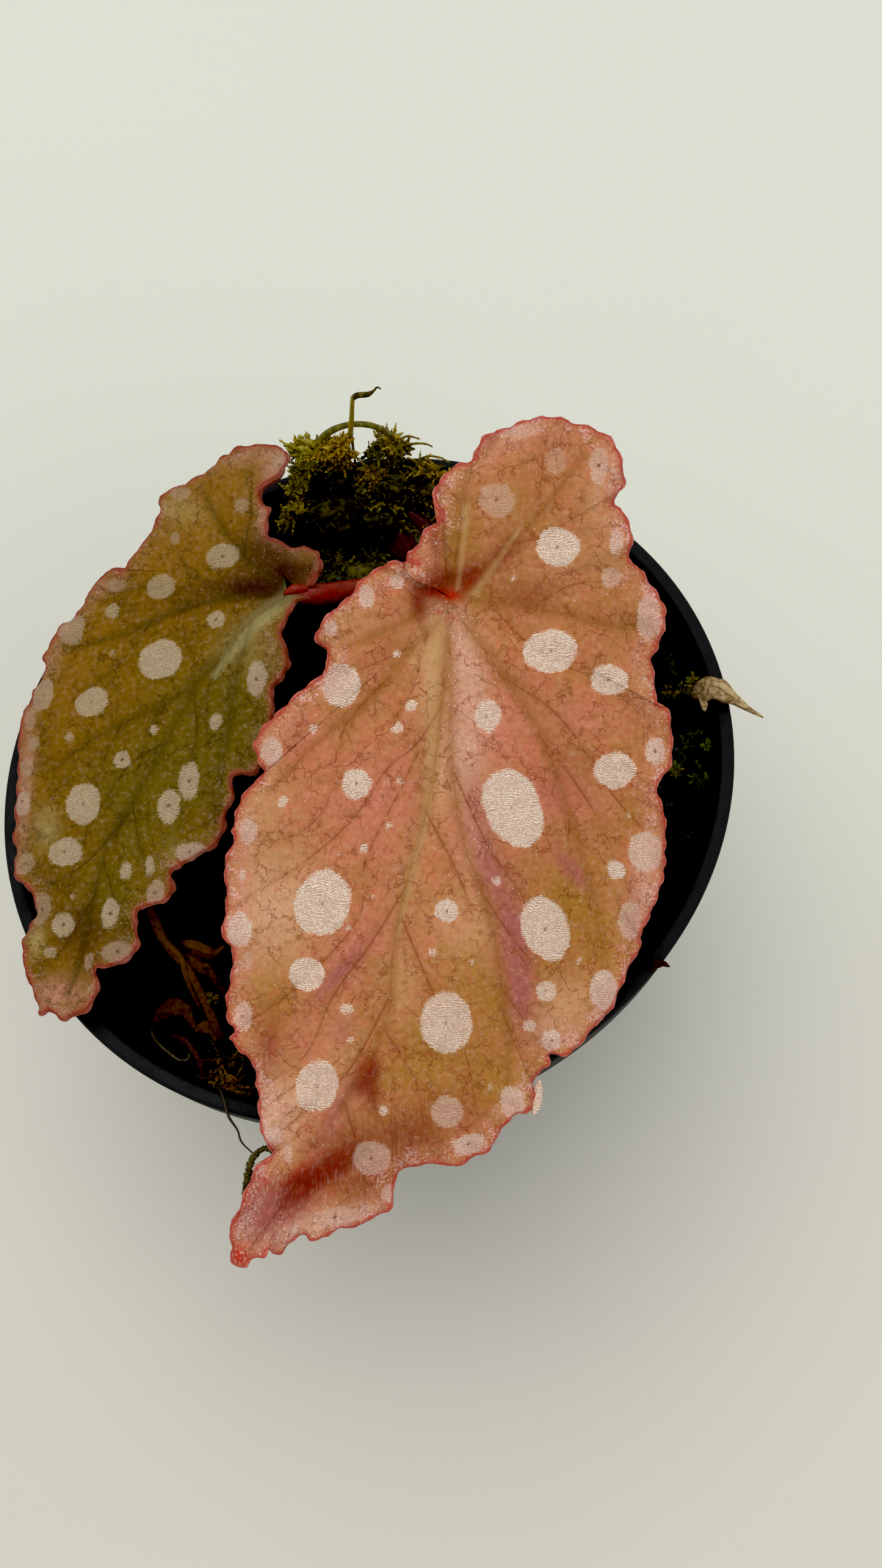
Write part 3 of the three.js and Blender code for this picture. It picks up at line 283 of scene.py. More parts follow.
LEFT_LEAF = {
    "hub": (-7.9, 17.4, 77),
    "slope": (0.2475, 0.042),
    "dome": 0.002,
    "dip": 0.6,
    "wave": 0.7,
    "fold": 0.1,
    "lift": 0,
    "first_bend": 0,
    "last_bend": 0,
    "knob": (2.4, 2.6, 0.3),
    "midrib": [
        (0, 0), (-2.4, -1.2), (-5.7, -3.9), (-8.2, -7), (-11.2, -10.6), (-13.8, -15.2), (-16.8, -20.7), (-19.2, -24.7),
        (-21, -28.3), (-22.1, -32.6), (-23.2, -39), (-24.4, -44.4),
    ],
    "first_lobe": [
        (1.6, 0.2), (2.5, 1.1), (3, 2.4), (2.4, 3.8), (1.2, 4.9), (-1.4, 5.3), (-3.2, 6.3), (-3.4, 7.7), (-3.3, 9.6),
        (-4.3, 10.8), (-4.2, 12.1), (-2.5, 12.9), (-1.6, 13.8), (-1.2, 14.8), (-1.7, 16.6), (-3.5, 17.7), (-6.7, 17.3),
        (-8.3, 16.6), (-10.9, 15.4), (-14.8, 13.2), (-16.4, 11.6), (-16.4, 10.3), (-18, 8.4), (-19.9, 5.6), (-20.5, 4),
    ],
    "left_side": [
        (-21.7, 4.4), (-23.5, 3.6), (-25.4, 1.9), (-26, 0.2), (-28.3, -2.7), (-29.8, -5.2), (-29.9, -6.5), (-31, -9.1),
        (-31.9, -13.2), (-32.5, -16.8), (-32.3, -19.7), (-31.8, -21.7), (-31.9, -23.9), (-32.3, -26.1), (-32, -27.9),
        (-31.3, -30.8), (-29.6, -32.2), (-29.3, -33.1), (-29.1, -35.1), (-29.9, -37), (-29.7, -39.1), (-29.3, -42),
        (-28.4, -43.9), (-27.3, -46), (-26.2, -45.8),
    ],
    "tip": (-24.7, -46.7),
    "right_side": [
        (-23.9, -46.4), (-22.1, -45.4), (-20.9, -43.5), (-21, -41.4), (-19.7, -41.2), (-17.7, -40.1), (-17, -38.6),
        (-16.9, -36.2), (-16.5, -35.2), (-14, -34.2), (-13.3, -33), (-13.4, -31.2), (-12.5, -30.6), (-10.7, -30),
        (-8.5, -28.4), (-7.8, -26.6), (-7.7, -24.9), (-6.4, -23.3), (-6.7, -21.3), (-4.2, -20.6), (-2.9, -17.4),
        (-2.1, -13.9), (-2.2, -11.4), (-1.3, -9.9), (-0.8, -8.3), (-1.5, -5), (-0.6, -3.1),
    ],
    "last_lobe": [(0, -1.6), (1.3, -0.8)],
    "lobe_rib": [(0, 0), (-3.2, 3.4), (-6.2, 6.8), (-8.8, 10.4), (-10.4, 13.2)],
    "pale_ribs": [
        (1.1, 0.4, [(-0.9, -0.6), (-2.8, -2.2), (-5.4, -4.6), (-7.6, -7.2), (-9.2, -9.4)]),
    ],
    "lobe_places": [
        0, 0, 0, 0, 0.02, 0.08, 0.3, 0.42, 0.55, 0.63, 0.7, 0.76, 0.8, 0.83, 0.88, 0.94, 1, 1, 0.98, 0.8, 0.66, 0.56,
        0.42, 0.26, 0.16,
    ],
    "main_veins": [
        [
            (0, 0), (-2.4, -1.4), (-5.7, -3.7), (-8.2, -7.3), (-11.4, -10.3), (-13.7, -14.9), (-16.8, -20.7),
            (-19.2, -24.7), (-21, -28.3), (-22.1, -32.6), (-23, -39.2), (-24.6, -44),
        ],
        [(-6.3, -4.6), (-11.4, -10), (-15.8, -12.6), (-19.7, -13.9), (-24.2, -16.1), (-28, -18.7)],
        [(0, 0), (-6.8, -0.2), (-13.6, -1.3), (-21, -3.7), (-27, -4.6)],
        [(-5.2, -3.6), (-6.6, -9.1), (-7.4, -14.8), (-8.1, -21.3), (-8.6, -25.5)],
        [(0, 0), (-4.4, 2.6), (-8.6, 7.6), (-11.6, 13.2)],
    ],
    "side_veins": [
        [(-11.6, -11), (-11, -16), (-12.2, -21), (-12.4, -27.4)],
        [(-14.6, -16.6), (-18.8, -19), (-22.6, -24.2), (-28.6, -26.4)], [(-18.2, -23), (-17, -28.4), (-15.6, -32)],
        [(-19, -24.6), (-23, -29.4), (-27.6, -32)], [(-21.2, -29.6), (-19.4, -34.6), (-18, -38)],
        [(-22, -33), (-25, -38.4), (-28.2, -41.6)], [(-15.6, -12.6), (-17.2, -17.6), (-17.6, -20.6)],
        [(-20, -14.2), (-22, -19), (-23.4, -26), (-25, -31.4)], [(-13.4, -1.3), (-17.4, 1.8), (-22.4, 1.6)],
        [(-17, -2.4), (-20.6, -7.2), (-26, -10.8)], [(-8.4, -0.4), (-12.6, 3.4), (-15.6, 8.6)],
        [(-6.2, 4.6), (-5.6, 9.6), (-5.6, 14.4)], [(-9, -8.4), (-10, -12), (-9.6, -17.6)],
    ],
    "spots": [
        (-8.6, 4.4, 2, 1.6, 0.7), (-15.9, 1.6, 1.8, 1.5, 0.6), (-15.5, -7.1, 2.7, 2.29, 0.95),
        (-23.4, -11.3, 2.1, 1.8, 0.85), (-4.2, -10.4, 1.2, 2.17, 0.9), (-9.1, -3, 1.14, 1.1, 0.75),
        (-21.7, -0.7, 0.88, 1.09, 0.6), (-6.5, 10.3, 0.8, 0.9, 0.45), (-14.5, 7.3, 0.73, 0.74, 0.5),
        (-21.2, -5.8, 0.45, 0.5, 0.6), (-15.9, -15.1, 0.48, 0.63, 0.85), (-19.5, -18.3, 1, 1.04, 0.85),
        (-25.9, -15.3, 0.66, 0.78, 0.7), (-8.8, -14.7, 0.77, 1.11, 0.9), (-10.1, -5.5, 0.4, 0.35, 0.5),
        (-3.2, -5.2, 0.35, 0.35, 0.6), (-11.7, -21.1, 1.25, 2.3, 0.9), (-13.8, -23.9, 1.2, 2.1, 0.9),
        (-23.8, -23, 2, 2.29, 0.9), (-25.6, -28.3, 2, 1.64, 0.85), (-15.9, -30.2, 0.6, 1.14, 0.85),
        (-18.4, -30.9, 0.7, 1, 0.85), (-20.1, -35.3, 1, 1.67, 0.8), (-25.3, -36.3, 1.2, 1.34, 0.75),
        (-24.4, -33.4, 0.4, 0.4, 0.6), (-26.6, -39.3, 0.7, 0.67, 0.6), (-22.1, -40.5, 0.7, 0.92, 0.6),
        (-13.8, 12.3, 1.2, 0.9, 0.4), (-26.3, -2.5, 1.6, 1.9, 0.6), (-29.5, -9.9, 1.3, 2.2, 0.65),
        (-30.2, -15.6, 0.8, 0.9, 0.5), (-31.1, -18.2, 0.9, 1.2, 0.5), (-30.8, -22.4, 1, 1.5, 0.85),
        (-30.2, -29.3, 1.2, 1.4, 0.45), (-28.1, -34.4, 1.2, 1.9, 0.45), (-11, -29.2, 1.9, 1.1, 0.9),
        (-15, -33.3, 1, 1.5, 0.65), (-19, -39.5, 1.6, 1.3, 0.5), (-28.3, 2.8, 0.4, 0.3, 0),
        (-21.4, 2.4, 1.3, 0.8, 0.4), (-2.2, 14.6, 1, 1.4, 0.3), (-5.6, -26, 0.5, 0.8, 0.5), (-8, -27.2, 0.6, 0.6, 0.5),
        (-30.6, -12.8, 0.7, 1.4, 0.4), (-5.4, -15.4, 0.3, 0.3, 0.5), (-16.5, -26.8, 0.25, 0.3, 0.5),
        (-20.6, -27.6, 0.25, 0.3, 0.4),
    ],
    "patches": {
        "cream": [
            (-3.6, -2.8, 3.2, 1, 1, 38), (-6.8, -5.8, 2.6, 1.3, 0.85, 40), (-5, -8, 2, 3, 0.5), (-13, 10, 2.4, 1.8, 1),
            (-13.2, 10.2, 1.8, 1.4, 1), (-7, -11, 1.2, 6, 0.3, -10), (-28, -25.5, 1.4, 2.2, 0.8),
            (-28, -38, 0.8, 1.6, 0.9), (-13, -29, 2, 1.6, 0.4),
        ],
        "pink": [
            (-2, 15.2, 2.2, 1.8, 0.9), (-3.4, 10.4, 0.9, 3.4, 0.9, 8), (-7.5, 15.8, 4, 1, 0.6, 15),
            (2.2, 2.8, 0.9, 2.2, 0.7), (-25.5, -44, 3.2, 1.9, 0.9), (-31, -17, 1, 6, 0.6),
            (-23.5, 2.5, 3, 1.2, 0.5, 35), (-31, -24, 0.9, 5, 0.5), (-28.5, -3.5, 1.2, 3, 0.4),
            (-2.2, 12.6, 1.2, 1.6, 0.9), (-3.8, 9.5, 0.9, 2.6, 0.9), (-2.6, 6, 1.8, 0.9, 0.8, -30),
            (0.6, 4.7, 1.6, 0.7, 0.9, -15), (2.7, 2.6, 0.8, 1.6, 0.9), (-2.2, 15.5, 2.2, 1.6, 0.9),
        ],
        "rose": [(-2.2, 15.4, 1.6, 1.6, 0.6)],
        "tan": [(-26.5, -31.5, 3, 3, 0.8), (-18.5, -37.5, 2.6, 3, 0.9), (-19, -26, 3, 3, 0.6), (-20, 2, 2.6, 2, 0.5)],
        "olive": [
            (-9, -19, 5, 8, 0.75), (-17, -24, 5, 8, 0.75), (-12, -12, 5, 4, 0.4), (-20, -33, 4, 4, 0.75),
            (-22, -20, 4, 5, 0.35), (-6, -14, 4, 6, 0.8), (-13, -20, 5, 6, 0.6),
        ],
        # Dark red blotches of the blade itself, and painted shade about the hub.
        "wine": [
            (-1.2, 1.9, 2.6, 1.7, 1), (-4.5, 0.4, 3.6, 1.3, 1, -5), (1.2, 2.6, 1.2, 1.4, 0.6),
            (-4, 4.5, 3.5, 2.5, 0.5), (-10, 1, 4, 1.2, 0.25, 5), (-1, -1, 1.5, 1, 0.3), (-23, -37, 3, 3, 0.4),
            (-13, -1, 4, 2, 0.12),
        ],
        "flush": [
            (-9, 13, 5, 4, 0.8), (-13, 7, 5, 4, 0.75), (-18, 4.5, 3.5, 2.5, 0.6), (-26, -9, 3, 5, 0.5),
            (-24, -2, 3, 3, 0.3), (1, 3.4, 1.5, 1.6, 0.8),
        ],
        "red": [(0.4, -0.2, 1.2, 0.6, 0.9), (1.9, 0.9, 0.6, 0.6, 0.5)],
    },
}

# The colours of the blades: the big leaf's and the left leaf's.
LEAF_COLOURS = {
    "base": ((0.475, 0.174, 0.07), (0.165, 0.08, 0)),
    "mottle": ((0.45, 0.18, 0.052), (0.185, 0.089, 0)),
    "bloom": ((0.53, 0.15, 0.07), (0.21, 0.104, 0.001)),
    "cream": ((0.6, 0.335, 0.155), (0.36, 0.26, 0.085)),
    "pink": ((0.56, 0.185, 0.11), (0.44, 0.19, 0.11)),
    "rose": ((0.62, 0.33, 0.22), (0.4, 0.23, 0.14)),
    "tan": ((0.36, 0.15, 0.045), (0.12, 0.06, 0)),
    "olive": ((0.335, 0.16, 0.018), (0.115, 0.082, 0)),
    # The dark red, laid both as the blade's own blotches and as painted shade.
    "wine": ((0.165, 0.008, 0), (0.03, 0.003, 0)),
    "flush": ((0.36, 0.1, 0.085), (0.26, 0.115, 0.01)),
    "red": ((0.44, 0.008, 0.003), (0.25, 0.008, 0.002)),
    "vein": ((0.5, 0.29, 0.115), (0.33, 0.28, 0.11)),
    "shade": ((0.26, 0.095, 0.015), (0.055, 0.038, 0)),
    "net": ((0.2, 0.032, 0.006), (0.035, 0.02, 0)),
    "margin": ((0.42, 0.065, 0.04), (0.31, 0.06, 0.035)),
    # The pale edge line is a painted highlight on the rounded margin.
    "edge": ((0.74, 0.4, 0.31), (0.48, 0.22, 0.16)),
    "rim": ((0.41, 0.045, 0.03), (0.2, 0.022, 0.012)),
    "spot": ((0.86, 0.72, 0.59), (0.5, 0.4, 0.26)),
    "line": ((0.42, 0.23, 0.14), (0.26, 0.18, 0.09)),
    "pink_spot": ((0.76, 0.53, 0.47), (0.5, 0.33, 0.26)),
    "heart": ((0.14, 0.05, 0.02), (0.07, 0.035, 0.008)),
    "under": ((0.3, 0.06, 0.035), (0.17, 0.035, 0.02)),
}

# ---------------------------------------------------------------- arrays


def smooth(value, low, high):
    """0 below low, 1 above high, and the smooth cubic 3t^2 - 2t^3 between."""
    share = np.clip((value - low) / (high - low), 0, 1)
    return share * share * (3 - 2 * share)


def unit(vectors):
    """The vectors over their own lengths."""
    return vectors / np.maximum(np.linalg.norm(vectors, axis=-1, keepdims=True), 1e-9)


def spline(points, places):
    """The Catmull-Rom curve through the points, at places counted in points from the first."""
    points = np.asarray(points, float)
    padded = np.concatenate((2 * points[:1] - points[1:2], points, 2 * points[-1:] - points[-2:-1]))
    start = np.clip(places.astype(int), 0, len(points) - 2)
    t = (places - start)[:, None]
    a, b, c, d = (padded[start + k] for k in range(4))
    return 0.5 * (2 * b + (c - a) * t + (2 * a - 5 * b + 4 * c - d) * t**2 + (3 * b - a - 3 * c + d) * t**3)


def curve(points, steps):
    """That many points along the Catmull-Rom curve."""
    return spline(points, np.linspace(0, len(points) - 1, steps))


def travelled(points):
    """The length of the line before each of its points."""
    return np.concatenate(([0.0], np.cumsum(np.linalg.norm(np.diff(points, axis=0), axis=1))))


def ripples(points, pitch, seed, waves=9):
    """Uneven ground of about one bump per pitch: a mean of sines that run in seeded directions."""
    random = np.random.default_rng(seed)
    direction = unit(random.normal(size=(waves, points.shape[-1])))
    per_length = TURN * random.uniform(0.6, 1.5, waves) / pitch
    phase = random.uniform(0, TURN, waves)
    return 2 * np.sin(points @ (direction * per_length[:, None]).T + phase).mean(-1)


def line_distance(points, lines, first_width, last_width):
    """Least distance from each point to the lines, over their half-width, which runs from first to last."""
    best = np.full(len(points), 99.0)
    for line in lines:
        path = curve(line, 6 * len(line))
        widths = np.linspace(first_width, last_width, len(path))
        for start, end, width in zip(path[:-1], path[1:], widths):
            run = end - start
            share = np.clip((points - start) @ run / (run @ run), 0, 1)
            away = np.linalg.norm(points - start - share[:, None] * run, axis=1)
            best = np.minimum(best, away / width)
    return best


def askew(points, x, y, degrees=0):
    """The points' places along and across two axes through x, y that are turned by some degrees."""
    offset = points - (x, y)
    c, s = np.cos(np.radians(degrees)), np.sin(np.radians(degrees))
    return offset @ (c, s), offset @ (-s, c)


def spot_fields(points, spots):
    """For the nearest spot of each point: the distance outside its oval edge, how bright it is, and
    the distance to its centre. The distance is (the oval's share of the way - 1) * its least half-width."""
    edge, bright, centre = np.full(len(points), 9.0), np.zeros(len(points)), np.full(len(points), 9.0)
    for x, y, half_x, half_y, strength, *degrees in spots:
        along, across = askew(points, x, y, *degrees)
        away = (np.hypot(along / half_x, across / half_y) - 1) * min(half_x, half_y)
        nearer = away < edge
        edge = np.where(nearer, away, edge)
        bright = np.where(nearer, strength, bright)
        if min(half_x, half_y) > 0.9:
            centre = np.where(nearer, np.linalg.norm(points - (x, y), axis=1), centre)
    return edge, bright, centre


def patch_mask(points, patches):
    """How much of a tint lies on each point: 1 - the product of (1 - strength * a turned Gaussian)."""
    left = np.ones(len(points))
    for x, y, half_x, half_y, strength, *degrees in patches:
        along, across = askew(points, x, y, *degrees)
        left *= 1 - strength * np.exp(-((along / half_x) ** 2) - (across / half_y) ** 2)
    return 1 - left


def grid_faces(rows, columns, closed=False):
    """Quads of a grid of points counted along its rows; closed joins the last column to the first."""
    row, column = np.meshgrid(np.arange(rows - 1), np.arange(columns - (not closed)), indexing="ij")
    after = (column + 1) % columns
    corners = (row * columns + column, row * columns + after, (row + 1) * columns + after, (row + 1) * columns + column)
    return np.stack(corners, -1).reshape(-1, 4)


def halved(quads):
    """Each quad as two triangles."""
    return np.concatenate((quads[:, [0, 1, 2]], quads[:, [0, 2, 3]]))


def welded(points, triangles, layers=None):
    """Points that lie together made one, and triangles that have lost a corner dropped."""
    keys = np.round(points * 2000).astype(np.int64)
    _, kept, now = np.unique(keys, axis=0, return_index=True, return_inverse=True)
    triangles = now.reshape(-1)[triangles]
    a, b, c = triangles.T
    sound = (a != b) & (b != c) & (c != a)
    return points[kept], [triangles[sound]], {name: values[kept] for name, values in (layers or {}).items()}


def tubes(paths, radii, sides, relief=1.0, squash=1.0):
    """Closed tubes along paths, an array of tubes by steps by 3: a corner stands off its path by
    radius * relief * (cos a * across + squash * sin a * over), and each end is a fan to the path."""
    paths = np.asarray(paths, float)
    count, steps = paths.shape[:2]
    tangent = unit(np.gradient(paths, axis=1))
    helper = np.eye(3)[np.argmin(np.abs(unit(paths[:, -1] - paths[:, 0])), axis=1)][:, None]
    across = unit(np.cross(tangent, helper))
    over = np.cross(tangent, across)
    angle = np.arange(sides) * TURN / sides
    spread = np.cos(angle)[:, None] * across[:, :, None] + squash * np.sin(angle)[:, None] * over[:, :, None]
    radius = np.broadcast_to(radii, (count, steps))[..., None] * relief
    ring = paths[:, :, None] + np.broadcast_to(radius, (count, steps, sides))[..., None] * spread
    points = np.concatenate((ring.reshape(count, steps * sides, 3), paths[:, :1], paths[:, -1:]), axis=1)
    corner = np.arange(sides)
    after = (corner + 1) % sides
    hub = np.full(sides, steps * sides)
    last = (steps - 1) * sides
    fans = np.concatenate((
        np.stack((hub, after, corner), -1),
        np.stack((hub + 1, last + corner, last + after), -1),
    ))
    shift = (np.arange(count) * points.shape[1])[:, None, None]
    quads = (grid_faces(steps, sides, closed=True) + shift).reshape(-1, 4)
    return points.reshape(-1, 3), [quads, (fans + shift).reshape(-1, 3)], {}


def tube(points, radii, steps, sides, relief=1.0, squash=1.0):
    """One closed tube through the points, its radius running through the radii."""
    radius = np.interp(np.linspace(0, 1, steps), np.linspace(0, 1, len(radii)), radii)
    return tubes(curve(points, steps)[None], radius[None], sides, relief, squash)


def ridges(steps, sides, depth, number, twist=0.0, seed=3):
    """Relief of a fibrous stalk: 1 + depth * cos(number * a + twist along it), a little uneven."""
    angle = np.arange(sides) * TURN / sides
    along = np.linspace(0, 1, steps)[:, None]
    uneven = ripples(np.stack(np.broadcast_arrays(np.cos(angle), np.sin(angle), 9 * along), -1), 1.6, seed)
    return 1 + depth * np.cos(number * angle + twist * along) + depth * uneven


def stalk(points, radii, steps, sides, depth, number, twist=0.0, seed=3, squash=1.0):
    """One closed tube with such ridges along it."""
    return tube(points, radii, steps, sides, ridges(steps, sides, depth, number, twist, seed), squash)


def joined(*parts):
    """Several parts, each points, faces and layers, as one."""
    shift, points, faces = 0, [], []
    names = {name for part in parts for name in part[2]}
    layers = {name: [] for name in names}
    for part_points, part_faces, part_layers in parts:
        points.append(part_points)
        faces += [face + shift for face in part_faces]
        for name in names:
            values = np.asarray(part_layers.get(name, 0.0))
            layers[name].append(np.broadcast_to(values, (len(part_points), *values.shape[1:])))
        shift += len(part_points)
    return np.concatenate(points), faces, {name: np.concatenate(values) for name, values in layers.items()}


def scattered(template, faces, centres, axes, sizes):
    """Copies of a small shape: centre + x * size * axis 0 + y * size * axis 1 + z * size * axis 2."""
    points = centres[:, None] + np.einsum("pk,nk,nkc->npc", template, sizes, axes)
    shift = (np.arange(len(centres)) * len(template))[:, None, None]
    return points.reshape(-1, 3), [(faces + shift).reshape(-1, faces.shape[1])], {}


def random_axes(random, count, flat=0.0):
    """Three square axes for each copy, turned at random; flat keeps the third one near upright."""
    third = unit(random.normal(size=(count, 3)) * (1, 1, 1 - flat) + (0, 0, 3 * flat))
    first = unit(np.cross(third, random.normal(size=(count, 3))))
    return np.stack((first, np.cross(third, first), third), axis=1)


# A leaf of moss, one long, one across and one deep, and the twenty sides of a crumb.
MOSS_LEAF = np.array([(0, 0, 0), (0.42, -0.5, 0.1), (0.42, 0.5, 0.1), (1, 0, 0.22), (0.4, 0, 0.16), (0.45, 0, -0.1)])
MOSS_LEAF_FACES = np.array([
    (0, 1, 4), (1, 3, 4), (3, 2, 4), (2, 0, 4), (1, 0, 5), (3, 1, 5), (2, 3, 5), (0, 2, 5),
])
GOLDEN = (1 + 5**0.5) / 2
CRUMB = unit(np.array([
    (-1, GOLDEN, 0), (1, GOLDEN, 0), (-1, -GOLDEN, 0), (1, -GOLDEN, 0), (0, -1, GOLDEN), (0, 1, GOLDEN),
    (0, -1, -GOLDEN), (0, 1, -GOLDEN), (GOLDEN, 0, -1), (GOLDEN, 0, 1), (-GOLDEN, 0, -1), (-GOLDEN, 0, 1),
]))
CRUMB_FACES = np.array([
    (0, 11, 5), (0, 5, 1), (0, 1, 7), (0, 7, 10), (0, 10, 11), (1, 5, 9), (5, 11, 4), (11, 10, 2),
    (10, 7, 6), (7, 1, 8), (3, 9, 4), (3, 4, 2), (3, 2, 6), (3, 6, 8), (3, 8, 9), (4, 9, 5),
    (2, 4, 11), (6, 2, 10), (8, 6, 7), (9, 8, 1),
])

# ---------------------------------------------------------------- pieces


def placed(name, data):
    """A new object in the scene."""
    thing = bpy.data.objects.new(name, data)
    bpy.context.scene.collection.objects.link(thing)
    return thing


def add_piece(name, part, material, stands_for=(), sharp=None):
    """A mesh object from points in millimetres, its faces and its point layers, riding on the body."""
    points, faces, layers = part
    mesh = bpy.data.meshes.new(name)
    corners = np.concatenate([face.ravel() for face in faces])
    sizes = np.concatenate([np.full(len(face), face.shape[1]) for face in faces])
    mesh.vertices.add(len(points))
    mesh.vertices.foreach_set("co", (points * MM).astype(np.float32).ravel())
    mesh.loops.add(len(corners))
    mesh.loops.foreach_set("vertex_index", corners.astype(np.int32))
    mesh.polygons.add(len(sizes))
    mesh.polygons.foreach_set("loop_start", np.concatenate(([0], np.cumsum(sizes)[:-1])).astype(np.int32))
    mesh.update(calc_edges=True)
    mesh.shade_smooth()
    for layer, values in layers.items():
        kind, key = ("FLOAT", "value") if values.ndim == 1 else ("FLOAT_VECTOR", "vector")
        mesh.attributes.new(layer, kind, "POINT").data.foreach_set(key, values.astype(np.float32).ravel())
    if sharp is not None:
        mesh.set_sharp_from_angle(angle=np.radians(sharp))
    mesh.materials.append(material)
    piece = placed(name, mesh)
    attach(piece, "root")
    if stands_for:
        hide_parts(*stands_for)
    return piece


def solid_of(node):
    """A copy of a node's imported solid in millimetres, its doubles merged."""
    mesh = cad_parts[node].data
    mesh.calc_loop_triangles()
    points = np.empty(3 * len(mesh.vertices))
    triangles = np.empty(3 * len(mesh.loop_triangles), int)
    mesh.vertices.foreach_get("co", points)
    mesh.loop_triangles.foreach_get("vertices", triangles)
    return welded(points.reshape(-1, 3) / MM, triangles.reshape(-1, 3))


# ---------------------------------------------------------------- shader nodes


class Tree:
    """Short ways to add shader nodes to one tree and to link them."""

    def __init__(self, tree):
        self.tree = tree

    def add(self, kind, inputs=None, **settings):
        node = self.tree.nodes.new(kind if kind.startswith("Node") else "ShaderNode" + kind)
        for key, value in settings.items():
            setattr(node, key, value)
        for key, value in (inputs or {}).items():
            self.feed(node.inputs[key], value)
        return node

    def feed(self, socket, value):
        if isinstance(value, bpy.types.NodeSocket):
            self.tree.links.new(value, socket)
        elif socket.type == "RGBA":
            socket.default_value = (*value[:3], 1)
        else:
            socket.default_value = value

    def layer(self, name):
        return self.add("Attribute", attribute_name=name).outputs["Fac"]

    def place(self, name=None):
        """The place in millimetres: a piece's own layer, or its Object coordinates."""
        if name:
            return self.add("Attribute", attribute_name=name).outputs["Vector"]
        spot = self.add("TexCoord").outputs["Object"]
        return self.add("VectorMath", {0: spot, "Scale": 1 / MM}, operation="SCALE").outputs[0]

    def calc(self, operation, a, b, clamp=False):
        return self.add("Math", {0: a, 1: b}, operation=operation, use_clamp=clamp).outputs[0]

    def plus(self, a, b, clamp=False):
        return self.calc("ADD", a, b, clamp)

    def minus(self, a, b):
        return self.calc("SUBTRACT", a, b)

    def times(self, a, b, clamp=False):
        return self.calc("MULTIPLY", a, b, clamp)

    def fade(self, value, low, high, top=1.0):
        """0 at low and top at high, smooth between."""
        inputs = {"Value": value, "From Min": low, "From Max": high, "To Max": top}
        return self.add("MapRange", inputs, interpolation_type="SMOOTHSTEP").outputs[0]

    def mix(self, share, a, b):
        return self.add("Mix", {0: share, 6: a, 7: b}, data_type="RGBA").outputs[2]

    def noise(self, place, scale, detail=2.0, roughness=0.5, distortion=0.0, output="Fac"):
        inputs = {"Vector": place, "Scale": scale, "Detail": detail, "Roughness": roughness, "Distortion": distortion}
        return self.add("TexNoise", inputs).outputs[output]

    def stretched(self, place, scale, turn=0.0):
        inputs = {"Vector": place, "Rotation": (0, 0, turn), "Scale": scale}
        return self.add("Mapping", inputs).outputs[0]

    def bent(self, place, reach, scale, detail, roughness=0.5):
        """The place, pushed aside by the three channels of a noise times reach."""
        push = self.noise(place, scale, detail, roughness, output="Color")
        push = self.add("VectorMath", {0: push, "Scale": reach}, operation="SCALE").outputs[0]
        return self.add("VectorMath", {0: place, 1: push}, operation="ADD").outputs[0]

    def group(self, tree, inputs):
        """The outputs of a node group fed with the inputs."""
        return self.add("Group", inputs, node_tree=tree).outputs


def shared_group(name, inputs, outputs, fill):
    """A node group built once: inputs maps names to a default, a number or None for a vector."""
    if name in bpy.data.node_groups:
        return bpy.data.node_groups[name]
    group = bpy.data.node_groups.new(name, "ShaderNodeTree")
    for key, default in inputs.items():
        kind = "NodeSocketVector" if default is None else "NodeSocketFloat"
        socket = group.interface.new_socket(key, in_out="INPUT", socket_type=kind)
        if default is not None:
            socket.default_value = default
    for key in outputs:
        group.interface.new_socket(key, in_out="OUTPUT", socket_type="NodeSocketFloat")
    tree = Tree(group)
    given = tree.add("NodeGroupInput").outputs
    result = tree.add("NodeGroupOutput")
    for key, value in fill(tree, given).items():
        tree.feed(result.inputs[key], value)
    return group


def net_veins():
    """Fine net of veins: the borders of warped cells, as thin lines."""

    def fill(tree, given):
        warped = tree.bent(given["Place"], 4.0, 0.5, 3, 0.65)
        per_mm = tree.calc("DIVIDE", 1.0, given["Cell"])
        border = tree.add(
            "TexVoronoi", {"Vector": warped, "Scale": per_mm, "Randomness": 1.0}, feature="DISTANCE_TO_EDGE"
        ).outputs["Distance"]
        broken = tree.fade(tree.noise(given["Place"], 0.35, 3), 0.4, 0.56)
        return {"Line": tree.times(tree.fade(border, 0.05, 0.0), broken)}

    return shared_group("begonia net veins", {"Place": None, "Cell": 2.0}, ("Line",), fill)


def fingerprint():
    """Fine wavy lines, as on a fingertip: strongly bent bands of the given pitch, broken by cells."""

    def fill(tree, given):
        scale = tree.calc("DIVIDE", 0.314, given["Pitch"])
        inputs = {"Vector": given["Place"], "Scale": scale, "Distortion": 20.0, "Detail": 1.0,
                  "Detail Scale": 0.36, "Detail Roughness": 0.4}
        bands = tree.add("TexWave", inputs, wave_type="BANDS", bands_direction="Y").outputs["Fac"]
        per_mm = tree.calc("DIVIDE", 0.9, given["Pitch"])
        cells = tree.add("TexVoronoi", {"Vector": given["Place"], "Scale": per_mm}, feature="F1")
        gaps = tree.fade(cells.outputs["Distance"], 0.3, 0.62)
        lines = tree.times(tree.fade(bands, 0.7, 0.2), 0.6)
        return {"Line": tree.plus(lines, tree.times(gaps, 0.45), clamp=True)}

    return shared_group("begonia fingerprint", {"Place": None, "Pitch": 0.27}, ("Line",), fill)


